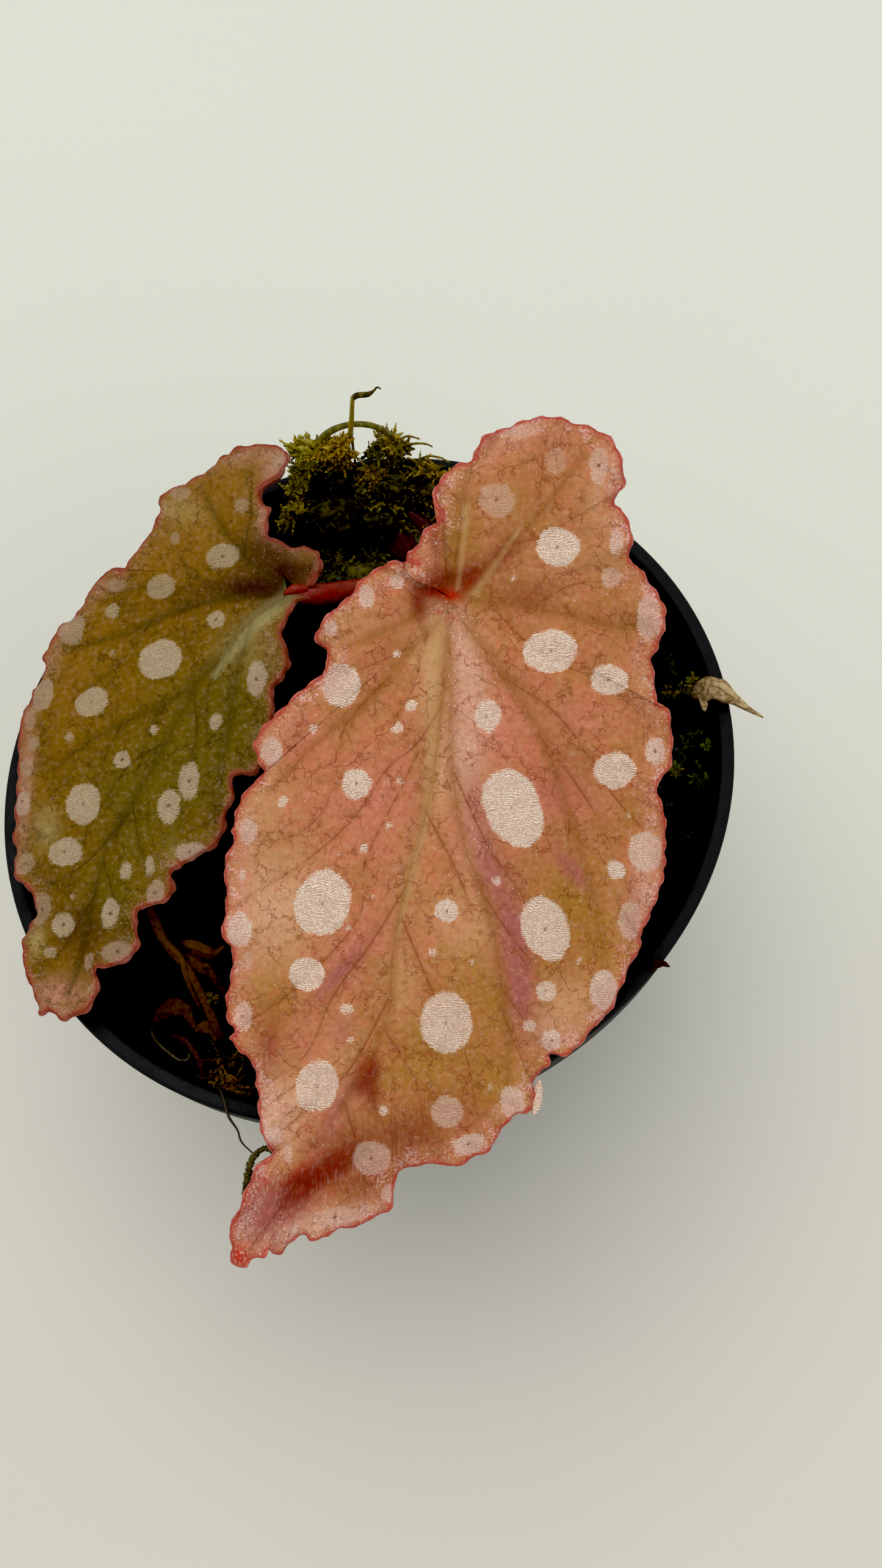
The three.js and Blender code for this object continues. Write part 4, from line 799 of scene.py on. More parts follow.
def glints():
    """Small round dots, each in the middle of a cell of a given size, in a share of the cells."""

    def fill(tree, given):
        per_mm = tree.calc("DIVIDE", 1.0, given["Size"])
        cell = tree.add("TexVoronoi", {"Vector": given["Place"], "Scale": per_mm}, feature="F1")
        dot = tree.fade(cell.outputs["Distance"], given["Dot"], tree.times(given["Dot"], 0.3))
        chance = tree.add("SeparateColor", {0: cell.outputs["Color"]}).outputs[0]
        lit = tree.calc("GREATER_THAN", given["Share"], chance)
        return {"Glint": tree.times(dot, lit)}

    inputs = {"Place": None, "Size": 0.3, "Share": 0.2, "Dot": 0.42}
    return shared_group("begonia dots", inputs, ("Glint",), fill)


def hair_streaks():
    """Fine parallel strokes: noise squeezed across the strokes and drawn out along them."""

    def fill(tree, given):
        long = tree.stretched(tree.bent(given["Place"], 9.0, 0.08, 1), (7.0, 0.75, 1.0), turn=-0.12)
        return {"Streak": tree.fade(tree.noise(long, 1.0, 2, 0.6), 0.54, 0.74)}

    return shared_group("begonia hair streaks", {"Place": None}, ("Streak",), fill)


def grain():
    """Uneven surface at a given size: a height, and specks where it stands highest."""

    def fill(tree, given):
        scale = tree.calc("DIVIDE", 1.0, given["Size"])
        height = tree.noise(given["Place"], scale, 5, 0.6)
        speck = tree.fade(tree.noise(given["Place"], tree.times(scale, 2.3), 2), 0.66, 0.74)
        return {"Height": height, "Speck": speck}

    return shared_group("begonia grain", {"Place": None, "Size": 0.5}, ("Height", "Speck"), fill)


def new_material(name, inputs):
    """A material with its Principled shader, whose constant sockets are set from inputs."""
    material = bpy.data.materials.new(name)
    material.use_nodes = True
    tree = Tree(material.node_tree)
    shader = material.node_tree.nodes["Principled BSDF"]
    for key, value in inputs.items():
        tree.feed(shader.inputs[key], value)
    return material, tree, shader


def bumped(tree, shader, height, strength, depth_mm):
    """Feeds a height to the shader's normal through a Bump node."""
    bump = tree.add("Bump", {"Height": height, "Strength": strength, "Distance": depth_mm * MM})
    tree.feed(shader.inputs["Normal"], bump.outputs["Normal"])


def rough_material(name, dark, light, speck, size, roughness=0.8, bump=0.6, stripe=None, warm=None, gloss=0.25):
    """Soil, moss, bark and dried bits: two colours by grain and by the piece's own tone, with specks.
    With warm given, the light colour leans to it by the piece's own warmth."""
    material, tree, shader = new_material(name, {"Specular IOR Level": gloss})
    if warm:
        light = tree.mix(tree.fade(tree.layer("warmth"), 0.0, 1.0), light, warm)
    place = tree.place()
    height, specks = tree.group(grain(), {"Place": place, "Size": size})
    share = tree.plus(tree.layer("tone"), tree.times(tree.minus(height, 0.5), 0.9))
    if stripe:
        fibre = tree.noise(tree.stretched(place, stripe), 1.0, 3)
        share = tree.plus(share, tree.times(tree.minus(fibre, 0.5), 1.2))
        height = tree.plus(height, fibre)
    colour = tree.mix(tree.fade(share, 0.0, 1.0), dark, light)
    colour = tree.mix(tree.times(specks, 0.35), colour, speck)
    tree.feed(shader.inputs["Base Color"], colour)
    tree.feed(shader.inputs["Roughness"], tree.fade(height, 0.2, 0.9, roughness))
    bumped(tree, shader, height, bump, 0.15)
    return material


def laid_over(tree, colour, colours, *layers):
    """A colour with others laid over it in turn, each given by its share and its name."""
    for share, name in layers:
        colour = tree.mix(share, colour, colours[name])
    return colour


def leaf_material(name, which, settings, hair, glint):
    """The skin of the big blade (which is 0) or the left one (1). Layers of its mesh say where spots,
    veins, tints and the margin lie; fine lines, net veins, hairs and glints are worked out from the
    place in the leaf's own plane."""
    colours = {key: pair[which] for key, pair in LEAF_COLOURS.items()}
    material, tree, shader = new_material(name, {"Specular IOR Level": 0.11})
    layer, fade, plus, minus, times = tree.layer, tree.fade, tree.plus, tree.minus, tree.times
    place = tree.place("place")
    margin, pale_rib, side, main = (layer(key) for key in ("margin", "pale_rib", "side_vein", "main_vein"))
    broad = tree.noise(place, 0.22, 3, 0.55)
    cloudy = tree.noise(place, 0.4, 4, 0.64, 0.5)
    patchy = tree.noise(place, 0.75, 4, 0.6)
    grainy = tree.noise(place, 1.7, 4, 0.72)
    fine = tree.noise(place, 3.4, 3, 0.6)
    (pores,) = tree.group(glints(), {"Place": place, "Size": 1.15, "Share": 0.6, "Dot": 0.13})
    (net,) = tree.group(net_veins(), {"Place": place, "Cell": settings.net_pitch / MM})
    (streaks,) = tree.group(hair_streaks(), {"Place": place})
    (lines,) = tree.group(fingerprint(), {"Place": place, "Pitch": settings.line_pitch / MM})

    # The blade between its spots: clouds, tints, mottle, pores, net and veins.
    uneven = plus(fade(patchy, 0.3, 0.66, 0.5), 0.78)
    colour = laid_over(
        tree, colours["base"], colours,
        (fade(broad, 0.38, 0.62), "mottle"),
        (fade(cloudy, 0.5, 0.64, 0.75), "bloom"),
        (fade(cloudy, 0.48, 0.34, 0.7), "tan"),
        *((times(layer(tint), uneven, clamp=True), tint) for tint in BIG_LEAF["patches"]),
        (fade(patchy, 0.53, 0.68, 0.45), "bloom"),
        (fade(patchy, 0.45, 0.3, 0.3), "shade"),
        (fade(fine, 0.52, 0.7, 0.42), "net"),
        (fade(fine, 0.47, 0.28, 0.22), "rose"),
        (fade(pale_rib, 1.8, 0.2, 0.55), "vein"),
        (fade(grainy, 0.53, 0.66, 0.4), "rose"),
        (fade(grainy, 0.47, 0.33, 0.36), "net"),
        (times(pores, 0.55), "net"),
        (times(net, 0.6), "net"),
        (fade(side, 2.4, 0.3, 0.2), "shade"),
        (fade(side, 0.55, 0.12, 0.58), "net"),
        (fade(main, 2.2, 0.5, 0.32), "shade"),
        (fade(main, 0.6, 0.15, 0.4), "shade"),
        (times(layer("red"), 0.9), "red"),
    )

    # The coral margin, its flecks and fringe, and the hairs, which are thickest near the tip.
    from_edge = plus(margin, times(minus(patchy, 0.5), 1.6))
    flecks = times(fade(margin, 3.4, 0.6), fade(fine, 0.5, 0.62, 0.15 + glint))
    fringe = times(fade(margin, 2.8, 0.9), fade(cloudy, 0.5, 0.6))
    tips = fade(tree.add("SeparateXYZ", {0: place}).outputs["Y"], -54.0, -61.0)
    colour = laid_over(
        tree, colour, colours,
        (fade(from_edge, 1.0, 0.1, 0.75), "margin"),
        (flecks, "rose"),
        (times(fringe, fade(fine, 0.4, 0.6, 0.2 + glint)), "pink_spot"),
        (times(streaks, plus(times(tips, 0.26), hair)), "pink_spot"),
        # The dark red tint laid again, with its painted shade about the hub and in the fold's crease.
        (times(layer("wine"), 0.75), "wine"),
        (fade(pale_rib, 1.5, 0.1, 0.28), "vein"),
    )

    # The spots: frayed at the edge, pinker near the margin, with fine lines across them.
    frayed = minus(tree.noise(place, 1.2, 5, 0.75), 0.5)
    torn = plus(layer("spot"), times(frayed, 0.6))
    torn = plus(torn, times(minus(cloudy, 0.5), 0.8))
    torn = plus(torn, times(lines, 0.2))
    silver = times(fade(torn, 0.16, -0.1), layer("bright"))
    pale = laid_over(
        tree, colours["spot"], colours,
        (fade(margin, 3.2, 0.9), "pink_spot"),
        (fade(patchy, 0.35, 0.7, 0.3), "pink_spot"),
        (times(lines, 0.85), "line"),
    )
    # Painted highlights: the sparkle dots near the margin and on the rose tint, and the thin pale line at the very
    # edge, stand in for glints and for light caught by the rounded margin.
    near = plus(plus(fade(margin, 3.0, 0.5, 0.5), times(layer("rose"), 0.5)), 0.02)
    (sparkle,) = tree.group(glints(), {"Place": place, "Size": 0.22, "Share": times(near, glint)})
    colour = laid_over(
        tree, tree.mix(silver, colour, pale), colours,
        (times(fade(layer("centre"), 0.36, 0.1), 0.85), "heart"),
        (times(sparkle, 0.7), "spot"),
        (fade(margin, 0.45, 0.18, 0.7), "rim"),
        (fade(margin, 0.1, 0.02, 0.3), "edge"),
    )
    beneath = tree.mix(fade(main, 2.0, 0.8), colours["under"], colours["vein"])
    tree.feed(shader.inputs["Base Color"], tree.mix(fade(layer("upper"), 0.4, 0.2), colour, beneath))

    rough = minus(plus(fade(fine, 0.3, 0.7, 0.22), 0.4), times(sparkle, 0.25))
    tree.feed(shader.inputs["Roughness"], minus(rough, times(silver, 0.08)))
    height = minus(fine, times(times(lines, silver), 0.6))
    height = minus(height, times(net, 0.9))
    bumped(tree, shader, plus(height, times(streaks, 0.4)), 0.55, 0.08)
    return material


# ---------------------------------------------------------------- settings


def colour_setting(name, description, default):
    """A colour that a user may change."""
    return FloatVectorProperty(name=name, description=description, subtype="COLOR", size=3, min=0, max=1,
                               default=default)


def length_setting(name, description, millimetres):
    """A length that a user may change, given here in millimetres."""
    return FloatProperty(name=name, description=description, unit="LENGTH", min=0, default=millimetres * MM)


class BEGONIA_PG_leaves(bpy.types.PropertyGroup):
    """Sizes and finish of the two blades and their stalks."""

    thickness: length_setting("Thickness", "Thickness of a blade away from its veins", 0.6)
    net_pitch: length_setting("Net pitch", "Width of one mesh of the fine vein net", 2.4)
    line_pitch: length_setting("Line pitch", "Distance between the fine lines in a spot", 0.2)
    rows_per_step: IntProperty(name="Rows per step", description="Rows between two outline points", default=6, min=1)
    hairs: FloatProperty(name="Hairs", description="Strength of the hair streaks", default=0.14, min=0, max=1)
    glints: FloatProperty(name="Glints", description="Share of sparkling cells at the margin", default=0.3,
                          min=0, max=1)
    petiole: colour_setting("Stalk", "Colour of the leaf stalks", (0.25, 0.013, 0.001))
    maroon: colour_setting("Maroon", "Colour of the bud and the young shoot", (0.055, 0.004, 0.005))


class BEGONIA_PG_pot(bpy.types.PropertyGroup):
    """Colours of the pot and the soil, and the number of crumbs."""

    plastic: colour_setting("Plastic", "Colour of the pot", (0.0036, 0.0036, 0.0037))
    soil: colour_setting("Soil", "Colour of the wet soil", (0.007, 0.005, 0.004))
    crumbs: IntProperty(name="Crumbs", description="Number of crumbs on the soil", default=1100, min=0)


class BEGONIA_PG_moss(bpy.types.PropertyGroup):
    """Size of the moss's leaves and its colours."""

    leaf: length_setting("Leaf", "Length of one moss leaf", 0.85)
    green: colour_setting("Green", "Colour of the sunlit green moss", (0.44, 0.36, 0.04))
    ochre: colour_setting("Ochre", "Colour of the sunlit ochre moss", (0.52, 0.32, 0.025))
    dark: colour_setting("Dark", "Colour of the shaded moss", (0.012, 0.013, 0.003))


class BEGONIA_PG_stage(bpy.types.PropertyGroup):
    """The table, the light and the view."""

    table: colour_setting("Table", "Colour of the pale table", (0.74, 0.745, 0.65))
    # The near-side colour is painted shade: the table grows warmer and darker towards the front, where the light falls
    # off.
    front: colour_setting("Table's front", "Warmer, duller colour of the table's near side", (0.7, 0.66, 0.575))
    key_power: FloatProperty(name="Key light", description="Power of the large soft light", unit="POWER",
                             default=3.3, min=0)
    sky: FloatProperty(name="Sky", description="Strength of the even light from all round", default=0.64, min=0)


# ---------------------------------------------------------------- stage


class BEGONIA_OT_stage(bpy.types.Operator):
    """Pale table, a large soft light from the back left, even sky, and the photograph's view"""

    bl_idname = "begonia.stage"
    bl_label = "Stage"

    def execute(self, context):
        look = context.scene.begonia_stage
        self.table(look)
        context.scene.world = self.sky(look)
        self.light("key", (-0.14, 0.18, 0.9), 0.65, look.key_power, (1.0, 0.985, 0.95))
        self.light("fill", (0.36, -0.4, 0.6), 0.5, look.key_power * 0.2, (0.97, 0.99, 1.0))
        self.view(context.scene)
        return {"FINISHED"}

    def table(self, look):
        """A wide plane with faint clouds and grains, warmer and duller towards the front, where painted shade stands in
        for the light falling off.
        """
        material, tree, shader = new_material("pale table", {"Roughness": 0.6, "Specular IOR Level": 0.3})
        place = tree.place()
        cloud = tree.noise(place, 0.006, 2)
        grains = tree.noise(place, 0.8, 2)
        towards = tree.add("SeparateXYZ", {0: place}).outputs["Y"]
        # Painted shade: warmer and darker towards the front.
        colour = tree.mix(tree.fade(towards, 90.0, -90.0), tuple(look.table), tuple(look.front))
        colour = tree.mix(tree.fade(cloud, 0.3, 0.7, 0.06), colour, (0.5, 0.49, 0.44))
        tree.feed(shader.inputs["Base Color"], tree.mix(tree.fade(grains, 0.5, 0.8, 0.03), colour, (0.4, 0.39, 0.36)))
        side = 1500.0
        points = np.array([(-side, -side, 0), (side, -side, 0), (side, side, 0), (-side, side, 0)]) * MM
        mesh = bpy.data.meshes.new("table")
        mesh.from_pydata(points.tolist(), [], [(0, 1, 2, 3)])
        mesh.materials.append(material)
        placed("table", mesh)

    def sky(self, look):
        """Even light from all round."""
        world = bpy.data.worlds.new("even sky")
        world.use_nodes = True
        sky = world.node_tree.nodes["Background"]
        sky.inputs["Color"].default_value = (0.96, 0.99, 1.0, 1)
        sky.inputs["Strength"].default_value = look.sky
        return world

    def view(self, scene):
        """The camera, and plain colours with a black level."""
        view = bpy.data.cameras.new("view")
        view.lens = CAMERA_LENS
        view.clip_start = 0.005
        camera = placed("view", view)
        camera.location = CAMERA_PLACE
        camera.rotation_euler = (CAMERA_TILT, 0, 0)
        scene.camera = camera
        shown = scene.view_settings
        shown.view_transform = "Standard"
        shown.use_curve_mapping = True
        shown.curve_mapping.black_level = (BLACK_LEVEL,) * 3
        shown.curve_mapping.update()

    def light(self, name, place, size, power, colour):
        """A square area light that faces the pot's rim."""
        lamp = bpy.data.lights.new(name, "AREA")
        lamp.size, lamp.energy, lamp.color = size, power, colour
        holder = placed(name, lamp)
        holder.location = place
        away = Vector(place) - Vector((0, 0, POT_HEIGHT * MM))
        holder.rotation_euler = away.to_track_quat("Z", "Y").to_euler()


# ---------------------------------------------------------------- pot and soil


def inner_radius(z):
    """Radius of the wall's inner face at a height: a straight taper from the floor to the rim."""
    return BASE_INNER + (TOP_INNER - BASE_INNER) * (z - FLOOR) / (POT_HEIGHT - FLOOR)


def oval(points):
    """How much wider the squeezed pot is at each point: 1 + squeeze * (z / height) * cos 2(a - angle)."""
    turn = 2 * (np.arctan2(points[..., 1], points[..., 0]) - SQUEEZE_ANGLE)
    return 1 + SQUEEZE * points[..., 2] / POT_HEIGHT * np.cos(turn)


def widened(points, share):
    """The points with x and y times a share."""
    return points * np.stack((share, share, np.ones_like(share)), -1)


def squeezed(points):
    """Round at the base, oval at the rim."""
    return widened(points, oval(points))


def turned(profile, sides):
    """A profile of radius and height pairs, from axis to axis, turned round the Z axis and squeezed."""
    profile = np.asarray(profile, float)
    angle = np.arange(sides) * TURN / sides
    radius, height = profile[:, :1], profile[:, 1:]
    grid = np.stack(np.broadcast_arrays(radius * np.cos(angle), radius * np.sin(angle), height), -1)
    faces = halved(grid_faces(len(profile), sides, closed=True))
    return welded(squeezed(grid.reshape(-1, 3)), faces)


def arc(radius, height, size, first, last, steps=6):
    """Profile points on a quarter round about a centre."""
    angle = np.radians(np.linspace(first, last, steps))
    return [(radius + size * np.cos(a), height + size * np.sin(a)) for a in angle]


class BEGONIA_OT_pot(bpy.types.Operator):
    """Soft black nursery pot with a rolled rim, a collar and eight drain holes"""

    bl_idname = "begonia.pot"
    bl_label = "Pot"

    def execute(self, context):
        look = context.scene.begonia_pot
        wall_top = inner_radius(COLLAR_FOOT) + WALL
        foot = [(BASE_RADIUS - 0.6, 0), (BASE_RADIUS - 0.18, 0.2), (BASE_RADIUS, 0.8)]
        step = [(wall_top, COLLAR_FOOT - 0.35), (wall_top + 0.25, COLLAR_FOOT - 0.08)]
        collar = [(RIM_RADIUS - COLLAR_TAPER - 0.15, COLLAR_FOOT), (RIM_RADIUS - COLLAR_TAPER, COLLAR_FOOT + 0.25)]
        lip = arc(RIM_RADIUS - 0.5, POT_HEIGHT - 0.5, 0.5, 0, 90)
        lip += arc(TOP_INNER + 0.45, POT_HEIGHT - 0.45, 0.45, 90, 180)
        inside = [(inner_radius(COLLAR_FOOT) + 0.05, COLLAR_FOOT + 0.3), (inner_radius(COLLAR_FOOT), COLLAR_FOOT - 0.2)]
        heel = [(BASE_INNER + 0.05, FLOOR + 0.6), (BASE_INNER - 0.5, FLOOR)]
        wall_steps = [(np.interp(z, (0.8, COLLAR_FOOT), (BASE_RADIUS, wall_top)), z) for z in np.linspace(4, 54, 11)]
        inner_steps = [(inner_radius(z), z) for z in np.linspace(52, 6, 9)]
        profile = [(0, 0), *foot, *wall_steps, *step, *collar, *lip, *inside, *inner_steps, *heel, (0, FLOOR)]
        pot = add_piece("nursery_pot", turned(profile, 192), self.plastic(look), ["pot"], sharp=50)
        self.drill(pot)
        return {"FINISHED"}

    def plastic(self, look):
        """Black polypropylene: satin, faintly scuffed, lighter on top of its rim by a painted sheen, and dusted with
        dry soil.
        """
        material, tree, shader = new_material("black nursery plastic", {"Specular IOR Level": 0.12})
        place = tree.place()
        height, specks = tree.group(grain(), {"Place": place, "Size": 0.45})
        scuff = tree.noise(tree.stretched(place, (0.35, 0.35, 2.4)), 1.0, 4, 0.65)
        level = tree.add("SeparateXYZ", {0: place}).outputs["Z"]
        # Painted sheen: the top of the rolled lip is lighter, standing in for the light it catches.
        top = tree.fade(level, POT_HEIGHT - 0.5, POT_HEIGHT - 0.05)
        colour = tree.mix(tree.fade(scuff, 0.5, 0.75, 0.35), tuple(look.plastic), (0.012, 0.0118, 0.0115))
        colour = tree.mix(tree.times(top, 0.9), colour, (0.0125, 0.0128, 0.0135))
        dust = tree.times(specks, tree.fade(level, SOIL - 6, POT_HEIGHT, 0.5))
        colour = tree.mix(dust, colour, (0.09, 0.07, 0.05))
        tree.feed(shader.inputs["Base Color"], colour)
        tree.feed(shader.inputs["Roughness"], tree.plus(tree.fade(scuff, 0.3, 0.8, 0.2), 0.52))
        bumped(tree, shader, tree.plus(height, scuff), 0.25, 0.08)
        return material

    def drill(self, pot):
        """Cuts the drain holes out of the floor with a Boolean, which is then applied."""
        turn = np.arange(DRAIN_HOLES) * TURN / DRAIN_HOLES
        foot = np.stack((DRAIN_CIRCLE * np.cos(turn), DRAIN_CIRCLE * np.sin(turn), np.full(DRAIN_HOLES, -2.0)), -1)
        paths = np.stack((foot, foot + (0, 0, 3.0), foot + (0, 0, 6.0)), axis=1)
        points, faces, _ = tubes(paths, DRAIN_RADIUS, 32)
        mesh = bpy.data.meshes.new("drills")
        mesh.from_pydata((points * MM).tolist(), [], [face for part in faces for face in part.tolist()])
        drills = placed("drills", mesh)
        cut = pot.modifiers.new("drain holes", "BOOLEAN")
        cut.operation, cut.object, cut.solver = "DIFFERENCE", drills, "EXACT"
        graph = bpy.context.evaluated_depsgraph_get()
        drilled = bpy.data.meshes.new_from_object(pot.evaluated_get(graph), depsgraph=graph)
        pot.modifiers.clear()
        pot.data = drilled
        bpy.data.objects.remove(drills)


def soil_height(points):
    """Lumps of the soil's surface: the solid's three crossed waves with finer ripples on them."""
    x, y = points[..., 0], points[..., 1]
    coarse = np.sin(0.42 * x + 1.1) * np.cos(0.37 * y)
    fine = np.sin(0.83 * x - 0.6 * y) + 0.6 * np.cos(1.1 * y + 0.5 * x)
    flat = points[..., :2]
    return SOIL + 0.9 * (0.7 * coarse + 0.4 * fine) + 0.45 * ripples(flat, 3.2, 5) + 0.3 * ripples(flat, 1.3, 6)


class BEGONIA_OT_soil(bpy.types.Operator):
    """Dark wet soil and its crumbs"""

    bl_idname = "begonia.soil"
    bl_label = "Soil"

    def execute(self, context):
        look = context.scene.begonia_pot
        dark = tuple(look.soil)
        light = tuple(4.5 * c for c in dark)
        earth = rough_material("wet peat", dark, light, (0.05, 0.03, 0.015), 0.6, 0.95, gloss=0.08)
        gap = 0.3
        edge = inner_radius(SOIL) - gap
        self.bed(earth, edge, gap)
        self.crumbs(earth, edge, look.crumbs)
        return {"FINISHED"}

    def bed(self, earth, edge, gap):
        """The soil from the pot's floor up, its surface uneven and sunk a little at the wall."""
        bottom = FLOOR + 0.3
        rings = np.linspace(edge, 0, 72)
        profile = [(0, bottom), (inner_radius(bottom) - gap, bottom), *((radius, SOIL) for radius in rings)]
        points, faces, _ = turned(profile, 200)
        top = points[:, 2] > bottom + 1
        rim = smooth(np.linalg.norm(points[:, :2], axis=1), edge * 0.9, edge * 0.97)
        level = soil_height(points) * (1 - rim) + (SOIL - 0.8) * rim
        points[:, 2] = np.where(top, level, points[:, 2])
        layers = {"tone": np.clip(0.35 + 0.3 * ripples(points, 4.0, 8), 0, 1)}
        add_piece("soil_bed", (points, faces, layers), earth, ["soil"])

    def crumbs(self, earth, edge, count):
        """Uneven crumbs strewn over the bed, a few of them large."""
        random = np.random.default_rng(41)
        radius = edge * 0.97 * np.sqrt(random.uniform(0, 1, count))
        turn = random.uniform(0, TURN, count)
        centres = np.stack((radius * np.cos(turn), radius * np.sin(turn), np.full(count, SOIL)), -1)
        size = random.uniform(0.25, 0.75, count) + 1.1 * random.uniform(0, 1, count) ** 9
        centres[:, 2] = soil_height(centres) + 0.25 * size
        sizes = size[:, None] * random.uniform(0.5, 1.2, (count, 3)) * (1.2, 1, 0.7)
        lumps, faces, _ = scattered(CRUMB, CRUMB_FACES, squeezed(centres), random_axes(random, count, 0.4), sizes)
        lumps = lumps + 0.12 * ripples(lumps, 0.9, 9)[:, None]
        tone = np.repeat(random.uniform(0, 0.9, count) ** 2, len(CRUMB))
        add_piece("soil_crumbs", (lumps, faces, {"tone": tone}), earth, sharp=40)


# ---------------------------------------------------------------- leaves


def refined(points, count):
    """Points added halfway along the longest steps until there are as many as asked for."""
    points = [np.array(point, float) for point in points]
    while len(points) < count:
        steps = [np.linalg.norm(after - point) for point, after in zip(points, points[1:])]
        widest = int(np.argmax(steps))
        points.insert(widest + 1, (points[widest] + points[widest + 1]) / 2)
    return points


def leaf_spokes(leaf, per_step):
    """Where each spoke of a blade starts and ends: its root on the hub, the midrib or the rib of the
    first lobe, its end on the margin, its share of the way down the midrib and the length of margin
    before it."""
    count = max(len(leaf["left_side"]), len(leaf["right_side"]))
    left, right = refined(leaf["left_side"], count), refined(leaf["right_side"], count)
    ends = np.array([*leaf["first_lobe"], *left, leaf["tip"], *right, *leaf["last_lobe"]], float)
    station = (np.arange(count) + 1) / (count + 1)
    lobes = np.zeros(len(leaf["first_lobe"])), np.zeros(len(leaf["last_lobe"]))
    share = np.concatenate((lobes[0], station, [1.0], station[::-1], lobes[1]))
    lobe = np.concatenate((leaf["lobe_places"], np.zeros(len(ends) - len(lobes[0]))))
    along = travelled(ends)
    index = np.arange(len(ends))
    places = np.linspace(0, len(ends) - 1, (len(ends) - 1) * per_step + 1)
    share, along, lobe = (np.interp(places, index, values) for values in (share, along, lobe))
    roots = along_rib(leaf["midrib"], share) + along_rib(leaf["lobe_rib"], lobe)
    return roots, spline(ends, places), share, along, ends


def along_rib(points, share):
    """The points at shares of the length of the curve through some points."""
    rib = curve(points, RIB_STEPS)
    length = travelled(rib)
    return np.stack([np.interp(share * length[-1], length, rib[:, k]) for k in (0, 1)], -1)


def blade_sheet(leaf, roots, ends, share, along, s):
    """The blade's middle sheet in its own plane, at shares s of the way along each spoke: the solid's
    dome, dip at the hub, ruffles that die away from the margin, fold at the tip and lift of the last
    lobe. Ruffles fade where the margin runs along the spokes, by the sine of the angle between them."""
    span = ends - roots
    reach = np.linalg.norm(span, axis=1)[:, None]
    run = unit(np.gradient(ends, axis=0))
    facing = np.abs(run[:, 0] * span[:, 1] - run[:, 1] * span[:, 0]) / reach[:, 0]
    window = np.hanning(2 * ROWS_EACH_WAY + 1)
    facing = np.convolve(np.pad(facing, ROWS_EACH_WAY, mode="edge"), window / window.sum(), mode="valid")[:, None]
    ruffle = smooth(facing, 0.2, 0.75)
    share, along = share[:, None], along[:, None]
    left = along[-1] - along
    first = np.exp(-((along / 2.5) ** 2)) * leaf["first_bend"] * 4 * s * (1 - s)
    last = np.exp(-((left / 3.5) ** 2)) * leaf["last_bend"] * 6.75 * s**2 * (1 - s)
    bend = (first + last) * 0.5**0.5
    x = roots[:, :1] + span[:, :1] * s - bend
    y = roots[:, 1:] + span[:, 1:] * s - bend
    from_hub = np.hypot(x, y)
    phase = TURN * along / WAVE_PITCH + 1.3 * np.sin(along / 17)
    inset = reach * (1 - s)
    z = (
        -leaf["dome"] * (reach * s) ** 2
        - leaf["dip"] * np.exp(-((from_hub / 5) ** 2))
        + leaf["wave"] * ruffle * np.sin(phase) * s * np.exp(-inset / WAVE_REACH)
        + leaf["fold"] * reach * s * smooth(share, 0.7, 1)
        + leaf["lift"] * smooth(from_hub, 0.3, 2.4) * np.exp(-((left / 9) ** 2))
    )
    frill = 0.24 * ruffle * np.sin(TURN * along / FRILL_PITCH + 1.7 * np.sin(along / 4)) * np.exp(-inset / 1.3)
    curl = -0.25 * ruffle * np.exp(-inset / 0.5)
    return x, y, z + frill + curl, inset


def toothed(ends, along):
    """The margin with its small uneven teeth: pushed along its outward normal by two uneven waves."""
    run = unit(np.gradient(ends, axis=0))
    outward = np.stack((run[:, 1], -run[:, 0]), -1)
    tooth = 0.12 * np.sin(TURN * along / 2.3 + 2 * np.sin(along / 5)) + 0.03 * np.sin(TURN * along / 1.1 + along)
    return ends + tooth[:, None] * outward


def plane_axes(leaf):
    """The sideways, upward and outward directions of a leaf's plane."""
    out = unit(np.array((-leaf["slope"][0], -leaf["slope"][1], 1.0)))
    side = unit(np.array((1.0, 0, 0)) - out * out[0])
    return np.stack((side, np.cross(out, side), out))


def blade_fields(leaf, flat, inset, outline):
    """The layers that the skin and the relief of a blade are made from. Veins and the margin are
    distances over a half-width, the spots' fields are those of spot_fields, tints are shares."""
    margin = line_distance(flat, [outline], 1.0, 1.0)
    spot, bright, centre = spot_fields(flat, leaf["spots"])
    return {
        "main_vein": line_distance(flat, leaf["main_veins"], 0.62, 0.3),
        "pale_rib": np.min([line_distance(flat, [line], *widths) for *widths, line in leaf["pale_ribs"]], axis=0),
        "side_vein": line_distance(flat, leaf["side_veins"], 0.4, 0.2),
        "margin": np.minimum(margin, inset + 0.02),
        "spot": spot,
        "bright": bright,
        "centre": centre,
        **{tint: patch_mask(flat, patches) for tint, patches in leaf["patches"].items()},
    }


def closed_faces(points, rows, columns):
    """Triangles of a closed sheet: an upper and an under grid of points and a wall at its two ends."""
    quads = grid_faces(rows, columns)
    quads = quads[:, ::-1] if turns_right(points[quads[len(quads) // 2, :3]]) else quads
    count = rows * columns
    first = np.arange(columns - 1)
    last = (rows - 1) * columns + first
    wall = np.concatenate((
        np.stack((first, first + 1, first + 1 + count, first + count), -1),
        np.stack((last + 1, last, last + count, last + 1 + count), -1),
    ))
    wall = wall if quads[0, 0] == 0 and quads[0, 1] != 1 else wall[:, ::-1]
    return halved(np.concatenate((quads, quads[:, ::-1] + count, wall)))


